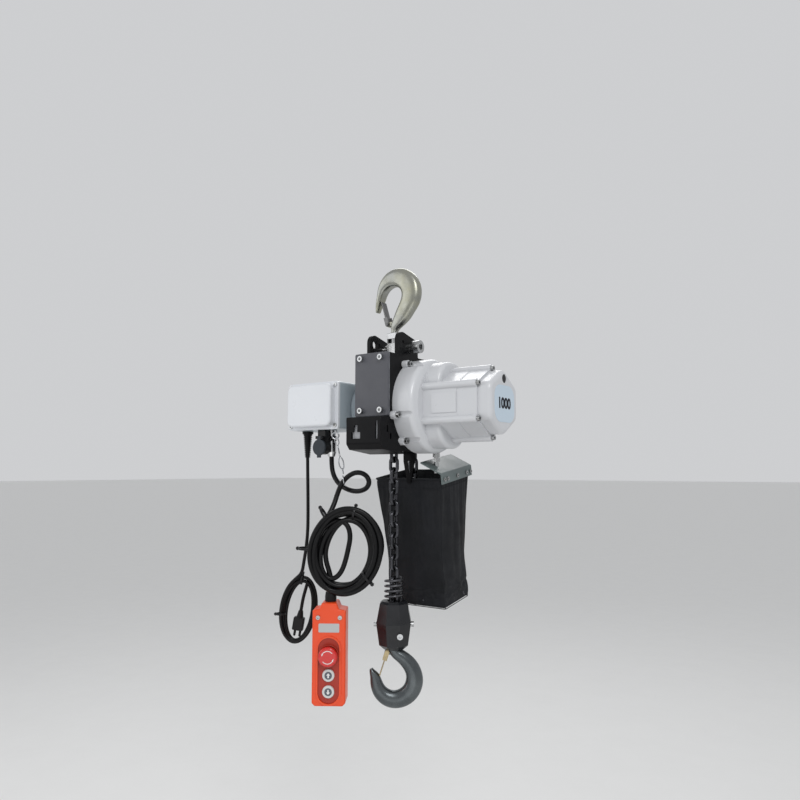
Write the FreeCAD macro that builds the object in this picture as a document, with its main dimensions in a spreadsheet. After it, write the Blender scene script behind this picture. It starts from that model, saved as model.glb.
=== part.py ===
import FreeCAD, Part
import Sketcher
import math
import os
import re
from FreeCAD import Placement, Rotation, Vector

# Electric chain hoist, 1000 kg on one fall of chain.
# Frame: origin at the centre of the top hook's bowl, +Z up, +X towards the motor, -Y is the front.

doc = FreeCAD.newDocument("ChainHoist")
sheet = doc.addObject("Spreadsheet::Sheet", "Sizes")

DRIVING_SIZES = [
    ("chain_wire", 6.2, "diameter of the chain's wire"),
    ("chain_pitch", 19.1, "inner length of one link"),
    ("chain_width", 20.8, "outer width of one link"),
    ("wheel_links", 10, "links round the load wheel"),
    ("axis_depth", 28.0, "Y of the load wheel and motor axis"),
    ("axis_drop", 203.0, "the axis lies this far below the bowl centre"),
    ("plate_inner", 27.0, "inner face of a side plate, from the middle"),
    ("plate_thickness", 7.0, "side plate"),
    ("lower_hook_drop", 675.0, "the lower bowl centre lies this far down"),
    ("pin_radius", 6.0, "cross bolt through the ears"),
    ("pin_drop", 98.0, "the cross bolt lies this far down"),
    ("drum_radius", 84.0, "gear case"),
    ("drum_length", 38.0, "gear case, along X"),
    ("hex_inradius", 53.0, "motor housing, half across flats"),
    ("cap_inradius", 49.0, "motor end cap, half across flats"),
    ("stator_radius", 46.0, "stator and its bore"),
    ("shaft_radius", 8.5, "load wheel shaft"),
    ("rotor_shaft_radius", 7.5, "rotor shaft"),
    ("gear_module", 1.25, "module of all gears"),
    ("pinion_teeth", 12, "teeth of both pinions"),
    ("wheel_teeth", 54, "teeth of both gears"),
    ("box_width", 123.0, "control box, along X"),
    ("box_height", 88.0, "control box, along Z"),
    ("box_depth", 96.0, "control box base, along Y"),
    ("lid_depth", 14.0, "raised part of the control box lid"),
    ("pendant_width", 58.0, "pendant case"),
    ("pendant_height", 172.0, "pendant case"),
    ("pendant_depth", 42.0, "pendant case"),
    ("button_radius", 10.4, "up and down buttons"),
    ("stop_radius", 16.5, "mushroom head of the stop button"),
    ("cord_radius", 4.5, "pendant cord"),
    ("lead_radius", 3.2, "power cord"),
    ("bag_wall", 2.5, "chain bag"),
    ("cover_sheet", 2.5, "folded sheet of the lower cover"),
    ("front_plate", 5.0, "thickness of the grey front cover"),
]
for row, (alias, value, note) in enumerate(DRIVING_SIZES, start=1):
    sheet.set("A%d" % row, note)
    sheet.set("B%d" % row, str(value))
    sheet.setAlias("B%d" % row, alias)
doc.recompute()


def size(alias):
    """The number that the sheet holds under an alias."""
    return float(getattr(sheet, alias))


# ---------------------------------------------------------------- places worked out from the sheet

PITCH = size("chain_pitch")
WIRE = size("chain_wire")
AXIS_Y = size("axis_depth")
AXIS_Z = -size("axis_drop")
WHEEL_R = PITCH / (2 * math.sin(math.pi / size("wheel_links")))
LOAD_Y = AXIS_Y - WHEEL_R
SLACK_Y = AXIS_Y + WHEEL_R
PLATE_IN = size("plate_inner")
PLATE_OUT = PLATE_IN + size("plate_thickness")
PIN_Z = -size("pin_drop")
LOWER_BOWL_Z = -size("lower_hook_drop")
CENTRES = size("gear_module") * (size("pinion_teeth") + size("wheel_teeth")) / 2
CENTRE_LINE = (AXIS_Y, AXIS_Z)
FACING = 33.0
FIT = 0.05

TO_X = Rotation(Vector(0, 0, 1), Vector(1, 0, 0))
TO_Y = Rotation(Vector(0, 0, 1), Vector(0, 1, 0))
TO_Z = Rotation()
AXES = {"X": TO_X, "Y": TO_Y, "Z": TO_Z}

nodes = []


# ---------------------------------------------------------------- helpers: sheet, primitives, booleans

def expression(text):
    """Plain aliases become references to the sheet."""
    return re.sub(r"\b([a-z]+(?:_[a-z]+)+)\b", r"Sizes.\1", text)


def bind(obj, **values):
    """A text value is bound as an expression on the sheet, a number is set as it is."""
    for name, value in values.items():
        if isinstance(value, str):
            obj.setExpression(name, expression(value))
        else:
            setattr(obj, name, value)
    return obj


def cylinder(radius, height, start, axis="Z"):
    """A Part cylinder from start along axis; radius and height may be sheet expressions."""
    obj = doc.addObject("Part::Cylinder", "Cylinder")
    bind(obj, Radius=radius, Height=height)
    obj.Placement = Placement(Vector(*start), AXES[axis])
    return obj


def cone(radius_from, radius_to, height, start, axis="Z"):
    """A Part cone from start along axis."""
    obj = doc.addObject("Part::Cone", "Cone")
    bind(obj, Radius1=radius_from, Radius2=radius_to, Height=height)
    obj.Placement = Placement(Vector(*start), AXES[axis])
    return obj


def torus(ring_radius, wire_radius, centre, axis="Z"):
    """A Part torus about axis."""
    obj = doc.addObject("Part::Torus", "Torus")
    bind(obj, Radius1=ring_radius, Radius2=wire_radius)
    obj.Placement = Placement(Vector(*centre), AXES[axis])
    return obj


def sphere(radius, centre):
    """A Part sphere."""
    obj = doc.addObject("Part::Sphere", "Sphere")
    bind(obj, Radius=radius)
    obj.Placement = Placement(Vector(*centre), Rotation())
    return obj


def box(low, high):
    """A Part box between two corners."""
    obj = doc.addObject("Part::Box", "Box")
    bind(obj, Length=high[0] - low[0], Width=high[1] - low[1], Height=high[2] - low[2])
    obj.Placement = Placement(Vector(*low), Rotation())
    return obj


def sized_box(low, length, width, height):
    """A box whose three sizes may be bound to the sheet."""
    obj = doc.addObject("Part::Box", "Box")
    bind(obj, Length=length, Width=width, Height=height)
    obj.Placement = Placement(Vector(*low), Rotation())
    return obj


def hexagon(across_flats, height, start, axis="Z"):
    """A six-sided prism from start along axis."""
    obj = doc.addObject("Part::Prism", "Prism")
    bind(obj, Polygon=6, Circumradius=across_flats / math.sqrt(3), Height=height)
    obj.Placement = Placement(Vector(*start), AXES[axis])
    return obj


def fuse(*shapes):
    """One solid made of all the shapes."""
    if len(shapes) == 1:
        return shapes[0]
    obj = doc.addObject("Part::MultiFuse", "Fuse")
    obj.Shapes = list(shapes)
    obj.Refine = True
    return obj


def cut(base, *tools):
    """The base with the tools taken away."""
    obj = doc.addObject("Part::Cut", "Cut")
    obj.Base = base
    obj.Tool = fuse(*tools)
    return obj


def common(*shapes):
    """The part that the shapes share."""
    obj = doc.addObject("Part::MultiCommon", "Common")
    obj.Shapes = list(shapes)
    return obj


def group(*shapes):
    """Separate solids that share one node."""
    obj = doc.addObject("Part::Compound", "Group")
    obj.Links = list(shapes)
    return obj


def edges_where(obj, chosen):
    """The numbers of the edges that the test chooses."""
    doc.recompute()
    return [i for i, edge in enumerate(obj.Shape.Edges, start=1) if chosen(edge)]


def fillet(base, radius, chosen):
    """Rounds the edges of a Part object that a test picks."""
    picked = edges_where(base, chosen)
    obj = doc.addObject("Part::Fillet", "Fillet")
    obj.Base = base
    obj.Edges = [(i, radius, radius) for i in picked]
    return obj


def along(axis):
    """A test for straight edges that run along one axis."""
    def test(edge):
        if len(edge.Vertexes) != 2 or not isinstance(edge.Curve, Part.Line):
            return False
        run = edge.Vertexes[1].Point - edge.Vertexes[0].Point
        return abs(getattr(run, axis)) > 0.999 * run.Length
    return test


def in_plane(axis, value, tolerance=0.01):
    """A test for edges that lie in one plane."""
    low, high = axis.upper() + "Min", axis.upper() + "Max"

    def test(edge):
        bounds = edge.BoundBox
        near_low = abs(getattr(bounds, low) - value) < tolerance
        return near_low and abs(getattr(bounds, high) - value) < tolerance
    return test


def add_node(name, obj, placement=None):
    """Names a finished sub-part, and places it where it was drawn in a frame of its own."""
    obj.Label = name
    if placement is not None:
        obj.Placement = placement
    nodes.append(obj)
    return obj


def add_shape(name, shape, placement=None):
    """A sub-part whose shape comes from Part's own functions."""
    obj = doc.addObject("Part::Feature", name)
    obj.Shape = shape
    if placement is not None:
        placement = placement.multiply(shape.Placement)
    return add_node(name, obj, placement)


# ---------------------------------------------------------------- helpers: bodies and sketches

def new_body(name):
    """An empty PartDesign body."""
    body = doc.addObject("PartDesign::Body", "Body")
    body.AllowCompound = True
    body.Label = name
    return body


def sketch_on(body, role, offset=0.0):
    """A sketch on one of the body's own origin planes, moved along the plane's normal."""
    plane = next(p for p in body.Origin.OriginFeatures if p.Role == role)
    sketch = body.newObject("Sketcher::SketchObject", "Sketch")
    sketch.AttachmentSupport = [(plane, "")]
    sketch.MapMode = "FlatFace"
    sketch.AttachmentOffset = Placement(Vector(0, 0, offset), Rotation())
    return sketch


def corner_arc(before, corner, after, radius):
    """The arc that rounds a corner, and where it starts and ends along the outline."""
    back = (before - corner).normalize()
    ahead = (after - corner).normalize()
    half = math.acos(max(-1.0, min(1.0, back.dot(ahead)))) / 2
    start = corner + back * (radius / math.tan(half))
    end = corner + ahead * (radius / math.tan(half))
    centre = corner + (back + ahead).normalize() * (radius / math.sin(half))
    left_turn = (corner - before).cross(after - corner).z > 0
    first, second = (start, end) if left_turn else (end, start)
    angle_from = math.atan2(first.y - centre.y, first.x - centre.x)
    angle_to = math.atan2(second.y - centre.y, second.x - centre.x)
    if angle_to < angle_from:
        angle_to += 2 * math.pi
    arc = Part.ArcOfCircle(Part.Circle(centre, Vector(0, 0, 1), radius), angle_from, angle_to)
    return start, end, arc, left_turn


def draw_outline(sketch, points):
    """A closed outline of straight runs; a point's third number rounds its corner."""
    corners = [Vector(p[0], p[1], 0) for p in points]
    radii = [p[2] if len(p) > 2 else 0.0 for p in points]
    count = len(points)
    turns = []
    for i in range(count):
        if radii[i] > 0:
            turns.append(corner_arc(corners[i - 1], corners[i], corners[(i + 1) % count], radii[i]))
        else:
            turns.append((corners[i], corners[i], None, True))
    pieces = []
    for i in range(count):
        _, end, arc, left_turn = turns[i]
        if arc is not None:
            piece = sketch.addGeometry(arc)
            pieces.append((piece, 1, 2) if left_turn else (piece, 2, 1))
        following = turns[(i + 1) % count][0]
        pieces.append((sketch.addGeometry(Part.LineSegment(end, following)), 1, 2))
    for last, following in zip(pieces, pieces[1:] + pieces[:1]):
        joined = Sketcher.Constraint("Coincident", last[0], last[2], following[0], following[1])
        sketch.addConstraint(joined)


def draw_circle(sketch, x, y, radius):
    """A circle whose radius is a number or an expression on the sheet."""
    start = 5.0 if isinstance(radius, str) else radius
    piece = sketch.addGeometry(Part.Circle(Vector(x, y, 0), Vector(0, 0, 1), start))
    rule = sketch.addConstraint(Sketcher.Constraint("Radius", piece, start))
    if isinstance(radius, str):
        sketch.setExpression("Constraints[%d]" % rule, expression(radius))


def add_pad(body, sketch, length, both_ways=False, reverse=False):
    """A pad of the sketch."""
    pad = body.newObject("PartDesign::Pad", "Pad")
    pad.Profile = sketch
    bind(pad, Length=length)
    if both_ways:
        pad.SideType = "Symmetric"
    pad.Reversed = reverse
    body.Tip = pad
    doc.recompute()
    return pad


def add_pocket(body, sketch, length=None, both_ways=False, reverse=False):
    """A pocket; the volume must shrink, or the pocket points away from the solid."""
    before = body.Shape.Volume
    pocket = body.newObject("PartDesign::Pocket", "Pocket")
    pocket.Profile = sketch
    if length is None:
        pocket.Type = "ThroughAll"
        pocket.SideType = "Symmetric"
    else:
        bind(pocket, Length=length)
        if both_ways:
            pocket.SideType = "Symmetric"
    pocket.Reversed = reverse
    body.Tip = pocket
    doc.recompute()
    if body.Shape.Volume > before - 0.01:
        raise ValueError(body.Label + ": a pocket removed nothing")
    return pocket


def add_revolution(body, sketch, cutting=False, axis="H_Axis"):
    """Turns a sketch about one of its own axes."""
    kind = "PartDesign::Groove" if cutting else "PartDesign::Revolution"
    turned = body.newObject(kind, "Turned")
    turned.Profile = sketch
    turned.ReferenceAxis = (sketch, [axis])
    turned.Angle = 360.0
    body.Tip = turned
    doc.recompute()
    return turned


def add_polar(body, feature, count, sketch):
    """Repeats a feature about the normal of its sketch."""
    pattern = body.newObject("PartDesign::PolarPattern", "PolarPattern")
    pattern.Originals = [feature]
    pattern.Axis = (sketch, ["N_Axis"])
    pattern.Angle = 360.0
    bind(pattern, Occurrences=count)
    body.Tip = pattern
    doc.recompute()
    return pattern


def round_edges(body, radius, chosen):
    """Rounds the edges of a body that a test picks."""
    base = body.Tip
    names = ["Edge%d" % i for i in edges_where(base, chosen)]
    feature = body.newObject("PartDesign::Fillet", "Fillet")
    feature.Base = (base, names)
    feature.Radius = radius
    body.Tip = feature
    doc.recompute()
    return feature


def turned_body(name, outline, centre=CENTRE_LINE):
    """A body turned about the line along X through centre: its outline holds (x, radius)."""
    body = new_body(name)
    sketch = sketch_on(body, "XY_Plane")
    draw_outline(sketch, outline)
    add_revolution(body, sketch)
    body.Placement = Placement(Vector(0, centre[0], centre[1]), Rotation())
    return body


def upright_body(name, outline, x, y):
    """A body turned about the line along Z through x and y: its outline holds (radius, z)."""
    body = new_body(name)
    sketch = sketch_on(body, "XZ_Plane")
    draw_outline(sketch, outline)
    add_revolution(body, sketch, axis="V_Axis")
    body.Placement = Placement(Vector(x, y, 0), Rotation())
    return body


# ---------------------------------------------------------------- chain

def link_shape():
    """One link about the origin, lying in the XZ plane with its length along Z."""
    bend = (size("chain_width") - WIRE) / 2
    straight = PITCH + WIRE - 2 * bend
    ring = Part.makeTorus(bend, WIRE / 2, Vector(), Vector(0, 1, 0))
    reach = size("chain_width")
    half = Part.makeBox(2 * reach, 2 * reach, reach, Vector(-reach, -reach, 0))
    top = ring.common(half)
    top.translate(Vector(0, 0, straight / 2))
    bottom = top.mirror(Vector(), Vector(0, 0, 1))
    sides = []
    for x in (-bend, bend):
        sides.append(Part.makeCylinder(WIRE / 2, straight, Vector(x, 0, -straight / 2)))
    return top.fuse([bottom] + sides).removeSplitter()


LINK = link_shape()


def placed_link(centre, lean, crosswise):
    """A link at a place, leaning about X, and turned a quarter about its length if crosswise."""
    turn = Rotation(Vector(1, 0, 0), lean)
    if crosswise:
        turn = turn.multiply(Rotation(Vector(0, 0, 1), 90))
    link = LINK.copy()
    link.Placement = Placement(Vector(*centre), turn)
    return link


LINK_PLAY = 0.8
STRAND_TOP = AXIS_Z + LINK_PLAY


def strand(y, count):
    """Straight links that hang from just above the load wheel's axis; the first one is crosswise."""
    links = []
    for i in range(count):
        z = STRAND_TOP - PITCH * (i + 0.5)
        links.append(placed_link((0, y, z), 0, i % 2 == 0))
    return Part.makeCompound(links)


LOAD_LINKS = 20
SLACK_LINKS = 12
add_shape("load_chain", strand(LOAD_Y, LOAD_LINKS))
add_shape("slack_chain", strand(SLACK_Y, SLACK_LINKS))


def wheel_wrap():
    """The links that lie over the load wheel, from the load strand to the slack strand."""
    half_step = math.pi / size("wheel_links")
    reach = WHEEL_R * math.cos(half_step)
    links = []
    for i in range(int(size("wheel_links") / 2)):
        angle = half_step * (2 * i + 1)
        centre = (0, AXIS_Y - reach * math.cos(angle), AXIS_Z + reach * math.sin(angle))
        links.append(placed_link(centre, -math.degrees(angle), i % 2 == 1))
    return Part.makeCompound(links)


add_shape("wheel_links", wheel_wrap())


# ---------------------------------------------------------------- load wheel and bearings

def load_wheel():
    """Load wheel turned in one piece with its shaft, with a seat for each flat link."""
    seat_r = WHEEL_R - WIRE / 2 - 0.6
    groove_r = WHEEL_R * math.cos(math.pi / size("wheel_links")) - size("chain_width") / 2 - 0.6
    half_seat = size("chain_width") / 2 + 0.7
    half_groove = WIRE / 2 + 0.9
    flange = half_seat + 3.0
    shaft = size("shaft_radius")
    body = turned_body("load_wheel", [
        (-42, 0), (-42, shaft - 1.5), (-PLATE_OUT, shaft - 1.5), (-PLATE_OUT, shaft), (-20, shaft),
        (-20, 14), (-flange, 14), (-flange, 35, 1), (-half_seat, 35, 1), (-half_seat, seat_r),
        (-half_groove, seat_r), (-half_groove, groove_r), (half_groove, groove_r), (half_groove, seat_r),
        (half_seat, seat_r), (half_seat, 35, 1), (flange, 35, 1), (flange, 14), (20, 14), (20, shaft),
        (52, shaft), (52, 0)])
    seat = sketch_on(body, "YZ_Plane")
    draw_outline(seat, [(-PITCH / 2, seat_r - 1.2), (PITCH / 2, seat_r - 1.2), (PITCH / 2, seat_r + 2),
                        (-PITCH / 2, seat_r + 2)])
    pocket = add_pocket(body, seat, 2 * half_seat - 2, both_ways=True)
    add_polar(body, pocket, "wheel_links / 2", seat)
    return body


add_node("load_wheel", load_wheel())


def ball_bearing(start_x, width, bore, outer, centre=CENTRE_LINE):
    """Inner ring, outer ring and balls that touch neither ring's face, as separate solids."""
    y, z = centre
    ring = (outer - bore) * 0.28
    inner = cut(cylinder(bore + ring, width, (start_x, y, z), "X"),
                cylinder(bore, width + 2, (start_x - 1, y, z), "X"))
    race = cut(cylinder(outer, width, (start_x, y, z), "X"),
               cylinder(outer - ring, width + 2, (start_x - 1, y, z), "X"))
    middle = (bore + outer) / 2
    ball_r = (outer - bore) / 2 - ring - 0.02
    balls = []
    for i in range(8):
        angle = math.radians(45 * i)
        place = (start_x + width / 2, y + middle * math.cos(angle), z + middle * math.sin(angle))
        balls.append(sphere(ball_r, place))
    return [inner, race] + balls


BEARING_R = 15.0
add_node("load_bearings", group(*(
    ball_bearing(-PLATE_OUT, size("plate_thickness"), size("shaft_radius") + 0.02, BEARING_R - 0.02)
    + ball_bearing(PLATE_IN, size("plate_thickness"), size("shaft_radius") + 0.02, BEARING_R - 0.02))))


# ---------------------------------------------------------------- side plates and frame

EAR_HOLE = (-23.0, -90.0)
EAR_HOLE_R = 8.0
LAY_Z = AXIS_Z + CENTRES
LAY_R = 5.0


FLANGE_X = 44.0
FLANGE_ANGLES = (124, 193, 227, 300, 60)
FLANGE_R = size("drum_radius") + 3.0
FLANGE_BOLTS = [(AXIS_Y + FLANGE_R * math.cos(math.radians(a)), AXIS_Z + FLANGE_R * math.sin(math.radians(a)))
                for a in FLANGE_ANGLES]


def side_plate(name, start_x, ear_hole_r):
    """One of the two outer plates, with its ear, pin hole and bearing seat."""
    body = new_body(name)
    outline = sketch_on(body, "YZ_Plane", start_x)
    draw_outline(outline, [
        (-39, -114), (-39, -69, 15), (24, -84, 5), (24, -114, 3), (62, -114, 14), (92, -152, 14),
        (92, -262, 14), (70, -284, 8), (-14, -283.5, 3), (-66, -275, 5), (-66, -114)])
    add_pad(body, outline, "plate_thickness")
    holes = sketch_on(body, "YZ_Plane", start_x)
    draw_circle(holes, 0, PIN_Z, "pin_radius + 0.1")
    draw_circle(holes, EAR_HOLE[0], EAR_HOLE[1], ear_hole_r)
    draw_circle(holes, AXIS_Y, AXIS_Z, BEARING_R)
    add_pocket(body, holes)
    return body


left_plate = side_plate("left_side_plate", -PLATE_OUT, EAR_HOLE_R)
small_hole = sketch_on(left_plate, "YZ_Plane", -PLATE_OUT)
draw_circle(small_hole, -11.5, -89, 2.5)
add_pocket(left_plate, small_hole)
add_node("left_side_plate", left_plate)
right_plate = side_plate("right_side_plate", PLATE_IN, 2.5)
lay_hole = sketch_on(right_plate, "YZ_Plane", PLATE_IN)
draw_circle(lay_hole, AXIS_Y, LAY_Z, LAY_R + FIT)
for bolt_y, bolt_z in FLANGE_BOLTS:
    draw_circle(lay_hole, bolt_y, bolt_z, 2.5)
add_pocket(right_plate, lay_hole)
add_node("right_side_plate", right_plate)

FRAME_TOP = -117.0
FRAME_LOW = -228.0
COVER_SCREWS = [(x, z) for x in (-21.5, 21.5) for z in (-123.0, -214.0)]
COVER_BACK = -66.0


def frame_body():
    """Cast box between the side plates that closes the chain's space."""
    half = PLATE_IN - 0.1
    shell = box((-half, COVER_BACK, FRAME_LOW), (half, 91, FRAME_TOP))
    space = box((-half + 5, -46, FRAME_LOW - 1), (half - 5, 84, FRAME_TOP - 7))
    drilled = [cylinder(2.6, 15, (x, COVER_BACK - 1, z), "Y") for x, z in COVER_SCREWS]
    bearing_room = [cylinder(BEARING_R - 3, 2 * half + 2, (-half - 1, AXIS_Y, AXIS_Z), "X")]
    lay_room = [cylinder(LAY_R + 1.5, 12, (half - 6, AXIS_Y, LAY_Z), "X")]
    return cut(shell, space, *(drilled + bearing_room + lay_room))


add_node("frame_body", frame_body())


def front_cover():
    """Grey cover plate with four screw holes and a folded lip at the top."""
    body = new_body("front_cover")
    outline = sketch_on(body, "XZ_Plane", -COVER_BACK)
    draw_outline(outline, [(-36, -113.5, 3), (36, -113.5, 3), (36, -224, 3), (-36, -224, 3)])
    add_pad(body, outline, "front_plate")
    holes = sketch_on(body, "XZ_Plane", -COVER_BACK)
    for x, z in COVER_SCREWS:
        draw_circle(holes, x, z, 3.1)
    add_pocket(body, holes)
    front = COVER_BACK - size("front_plate")
    round_edges(body, 1.2, in_plane("y", front))
    return body


add_node("front_cover", front_cover())


def cap_screw(start, direction, head_r, head_h, thread_r, length):
    """Socket cap screw: head outwards from start, thread the other way along an axis letter."""
    axis = direction[-1]
    outward = -1 if direction[0] == "-" else 1
    index = "XYZ".index(axis)

    def at(distance):
        place = list(start)
        place[index] += outward * distance
        return tuple(place)

    low_head = at(0) if outward > 0 else at(head_h)
    low_thread = at(-length) if outward > 0 else at(0)
    low_socket = at(head_h * 0.4) if outward > 0 else at(head_h + 1)
    head = cylinder(head_r, head_h, low_head, axis)
    thread = cylinder(thread_r, length, low_thread, axis)
    socket = hexagon(head_r * 0.95, head_h * 0.6 + 1, low_socket, axis)
    return cut(fuse(head, thread), socket)


def m6_screws():
    """The screws of the front cover and the bolts of the gear case's flange are the same."""
    front = COVER_BACK - size("front_plate")
    cover = [cap_screw((x, front, z), "-Y", 5, 6, 2.5, 16) for x, z in COVER_SCREWS]
    flange = [cap_screw((FLANGE_X, y, z), "+X", 5, 6, 2.5, FLANGE_X - PLATE_OUT + 5) for y, z in FLANGE_BOLTS]
    return group(*(cover + flange))


add_node("case_screws", m6_screws())


def chain_guide():
    """Guide below the wheel: one cross-shaped channel for each strand."""
    body = new_body("chain_guide")
    outline = sketch_on(body, "YZ_Plane")
    draw_outline(outline, [(-88, -229), (90, -229), (90, -260), (71, -282), (-14, -282), (-87, -273)])
    add_pad(body, outline, 2 * PLATE_IN - 0.4, both_ways=True)
    wheel_room = sketch_on(body, "YZ_Plane")
    draw_circle(wheel_room, AXIS_Y, AXIS_Z, 37.0)
    add_pocket(body, wheel_room)
    channels = sketch_on(body, "XY_Plane", -290)
    wide = size("chain_width") / 2 + 0.8
    narrow = WIRE / 2 + 0.8
    for y in (LOAD_Y, SLACK_Y):
        draw_outline(channels, [
            (-wide, y - narrow), (-narrow, y - narrow), (-narrow, y - wide), (narrow, y - wide),
            (narrow, y - narrow), (wide, y - narrow), (wide, y + narrow), (narrow, y + narrow),
            (narrow, y + wide), (-narrow, y + wide), (-narrow, y + narrow), (-wide, y + narrow)])
    add_pocket(body, channels, 70, reverse=True)
    return body


add_node("chain_guide", chain_guide())


def lower_cover():
    """Folded sheet over the chain guide, open at the back, with slots in its front and right side."""
    sheet_t = size("cover_sheet")
    half = PLATE_OUT + sheet_t
    body = new_body("lower_cover")
    outline = sketch_on(body, "YZ_Plane")
    draw_outline(outline, [(-93, -226, 2), (-65, -226), (-65, -240), (-31, -279), (-25, -288.5),
                           (-85, -281.5, 3), (-93, -272, 6)])
    add_pad(body, outline, 2 * half, both_ways=True)
    inside = sketch_on(body, "YZ_Plane")
    draw_outline(inside, [(-93 + sheet_t, -200), (0, -200), (0, -288.4), (-84, -279, 2),
                          (-93 + sheet_t, -271, 4)])
    add_pocket(body, inside, 2 * PLATE_OUT + 0.1, both_ways=True)
    front_slots = sketch_on(body, "XZ_Plane", 89)
    draw_outline(front_slots, [(-20, -240), (-12.5, -240), (-12.5, -252), (-6.5, -252), (-6.5, -263),
                               (-26, -263), (-26, -252), (-20, -252)])
    draw_outline(front_slots, [(25.5, -234), (30.5, -234), (30.5, -264), (25.5, -264)])
    add_pocket(body, front_slots, 10, reverse=True)
    side_slots = sketch_on(body, "YZ_Plane", PLATE_OUT - 1)
    draw_outline(side_slots, [(-75, -240), (-71, -240), (-71, -252), (-75, -252)])
    draw_outline(side_slots, [(-66, -254), (-62, -254), (-62, -264), (-66, -264)])
    add_pocket(body, side_slots, 10, reverse=True)
    return body


add_node("lower_cover", lower_cover())


# ---------------------------------------------------------------- hooks

def round_outline(squareness):
    """A closed curve of half-width 1: an ellipse's share at 2, flatter sided above it."""
    points = []
    for i in range(24):
        way = 2 * math.pi * i / 24
        x, y = math.cos(way), math.sin(way)
        points.append(Vector(math.copysign(abs(x) ** (2 / squareness), x),
                             math.copysign(abs(y) ** (2 / squareness), y), 0))
    curve = Part.BSplineCurve()
    curve.interpolate(points, PeriodicFlag=True)
    return Part.Wire([curve.toShape()])


def ring_section(outline, centre, across, half_across, half_thick):
    """The outline scaled about a point; across is its direction in the XZ plane."""
    normal = across.cross(Vector(0, 1, 0))
    matrix = FreeCAD.Matrix(
        across.x * half_across, 0, normal.x, centre.x,
        across.y * half_across, half_thick, normal.y, centre.y,
        across.z * half_across, 0, normal.z, centre.z,
        0, 0, 0, 1)
    return outline.transformGeometry(matrix)


def hook_shape(bowl, neck, squareness):
    """Forged hook about its bowl's centre, shank up, opening towards -X; the neck's stations follow."""
    outline = round_outline(squareness)
    points = []
    for angle, reach, across, thick in bowl:
        way = math.radians(angle)
        points.append((reach * math.cos(way), reach * math.sin(way), across, thick))
    points += neck
    sections = []
    for i, (x, z, across, thick) in enumerate(points):
        before = points[max(i - 1, 0)]
        after = points[min(i + 1, len(points) - 1)]
        run = Vector(after[0] - before[0], 0, after[1] - before[1]).normalize()
        if i == len(points) - 1:
            run = Vector(0, 0, 1)
        side = run.cross(Vector(0, 1, 0))
        sections.append(ring_section(outline, Vector(x, 0, z), side, across, thick))
    return Part.makeLoft(sections, True, False, False, 3)


def hook_with_shank(hook, pivot, neck_end, shank_radius, shank_end, collar_height=0.0):
    """The hook with its turned shank, a flat boss for the latch's rivet, and a collar if it has one."""
    x, z = pivot
    shank = Part.makeCylinder(shank_radius, shank_end - neck_end + 1, Vector(0, 0, neck_end - 1))
    boss = Part.makeCylinder(4.5, 11, Vector(x, -5.5, z), Vector(0, 1, 0))
    web = Part.makeBox(12, 11, 7, Vector(x, -5.5, z - 4))
    solid = hook.fuse([shank, boss, web])
    if collar_height > 0:
        solid = solid.fuse(Part.makeCylinder(13, collar_height, Vector(0, 0, shank_end - collar_height)))
    return solid.cut(Part.makeCylinder(1.6, 30, Vector(x, -15, z), Vector(0, 1, 0)))


def latch_shape(pivot, tip):
    """Sprung sheet latch: two cheeks beside the hook's boss, a strip to the tip, and its rivet."""
    x, z = pivot
    run = Vector(tip[0] - x, 0, tip[1] - z)
    length = run.Length
    strip = Part.makeBox(2, 15.4, length - 5, Vector(-1, -7.7, 5))
    strip = strip.makeFillet(0.8, strip.Edges)
    cheeks = []
    for y in (-7.7, 5.7):
        cheek = Part.makeBox(8, 2, 16, Vector(-4.0, y, -2))
        cheeks.append(cheek.fuse(Part.makeCylinder(4, 2, Vector(0, y, 0), Vector(0, 1, 0))))
    rivet = Part.makeCylinder(1.55, 18.4, Vector(0, -9.2, 0), Vector(0, 1, 0))
    heads = [Part.makeCylinder(3, 1.5, Vector(0, y, 0), Vector(0, 1, 0)) for y in (-9.2, 7.7)]
    latch = strip.fuse(cheeks + [rivet] + heads)
    lean = math.degrees(math.atan2(run.x, run.z))
    latch.Placement = Placement(Vector(x, 0, z), Rotation(Vector(0, 1, 0), lean))
    return latch


UPSIDE_DOWN = Placement(Vector(), Rotation(Vector(1, 0, 0), 180))
LOWER_PLACE = Placement(Vector(0, LOAD_Y, LOWER_BOWL_Z), Rotation(Vector(0, 0, 1), FACING))
TOP_SHANK_END = 87.5
TOP_PIVOT = (-12.5, 51.0)
TOP_BOWL = [
    (147, 46.5, 2.6, 4.5), (153, 42, 3.6, 7), (164, 36, 4.6, 9.5), (179, 31.5, 5.4, 11),
    (197, 30, 6.8, 11.5), (217, 30.3, 9.3, 12), (239, 31.6, 12.4, 12), (263, 33.8, 15.4, 12),
    (290, 35.6, 17.4, 12), (318, 37, 18.6, 12), (345, 37.3, 18.8, 12), (10, 36.5, 18.2, 12),
    (31, 35.4, 16.8, 11.5)]
TOP_NECK = [
    (22.5, 30, 15.6, 11), (14.5, 40.5, 13.6, 10.3), (5.5, 51, 10, 9), (0.3, 60, 7.2, 7.2),
    (0, 68.3, 7, 7)]
top_hook_shape = hook_shape(TOP_BOWL, TOP_NECK, 3.0)
top_hook = hook_with_shank(top_hook_shape, TOP_PIVOT, TOP_NECK[-1][1], 6.0, TOP_SHANK_END)
add_shape("top_hook", top_hook, UPSIDE_DOWN)
add_shape("top_latch", latch_shape(TOP_PIVOT, (-26.0, 7.5)), UPSIDE_DOWN)


def top_nut():
    """Round nut with two flats, locked on the top hook's shank."""
    round_nut = cylinder(8.0, 7.5, (0, 0, -TOP_SHANK_END + 0.5))
    nut = cut(round_nut, cylinder(6.0, 20, (0, 0, -TOP_SHANK_END - 5)))
    return nut


add_node("top_hook_nut", top_nut())


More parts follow.
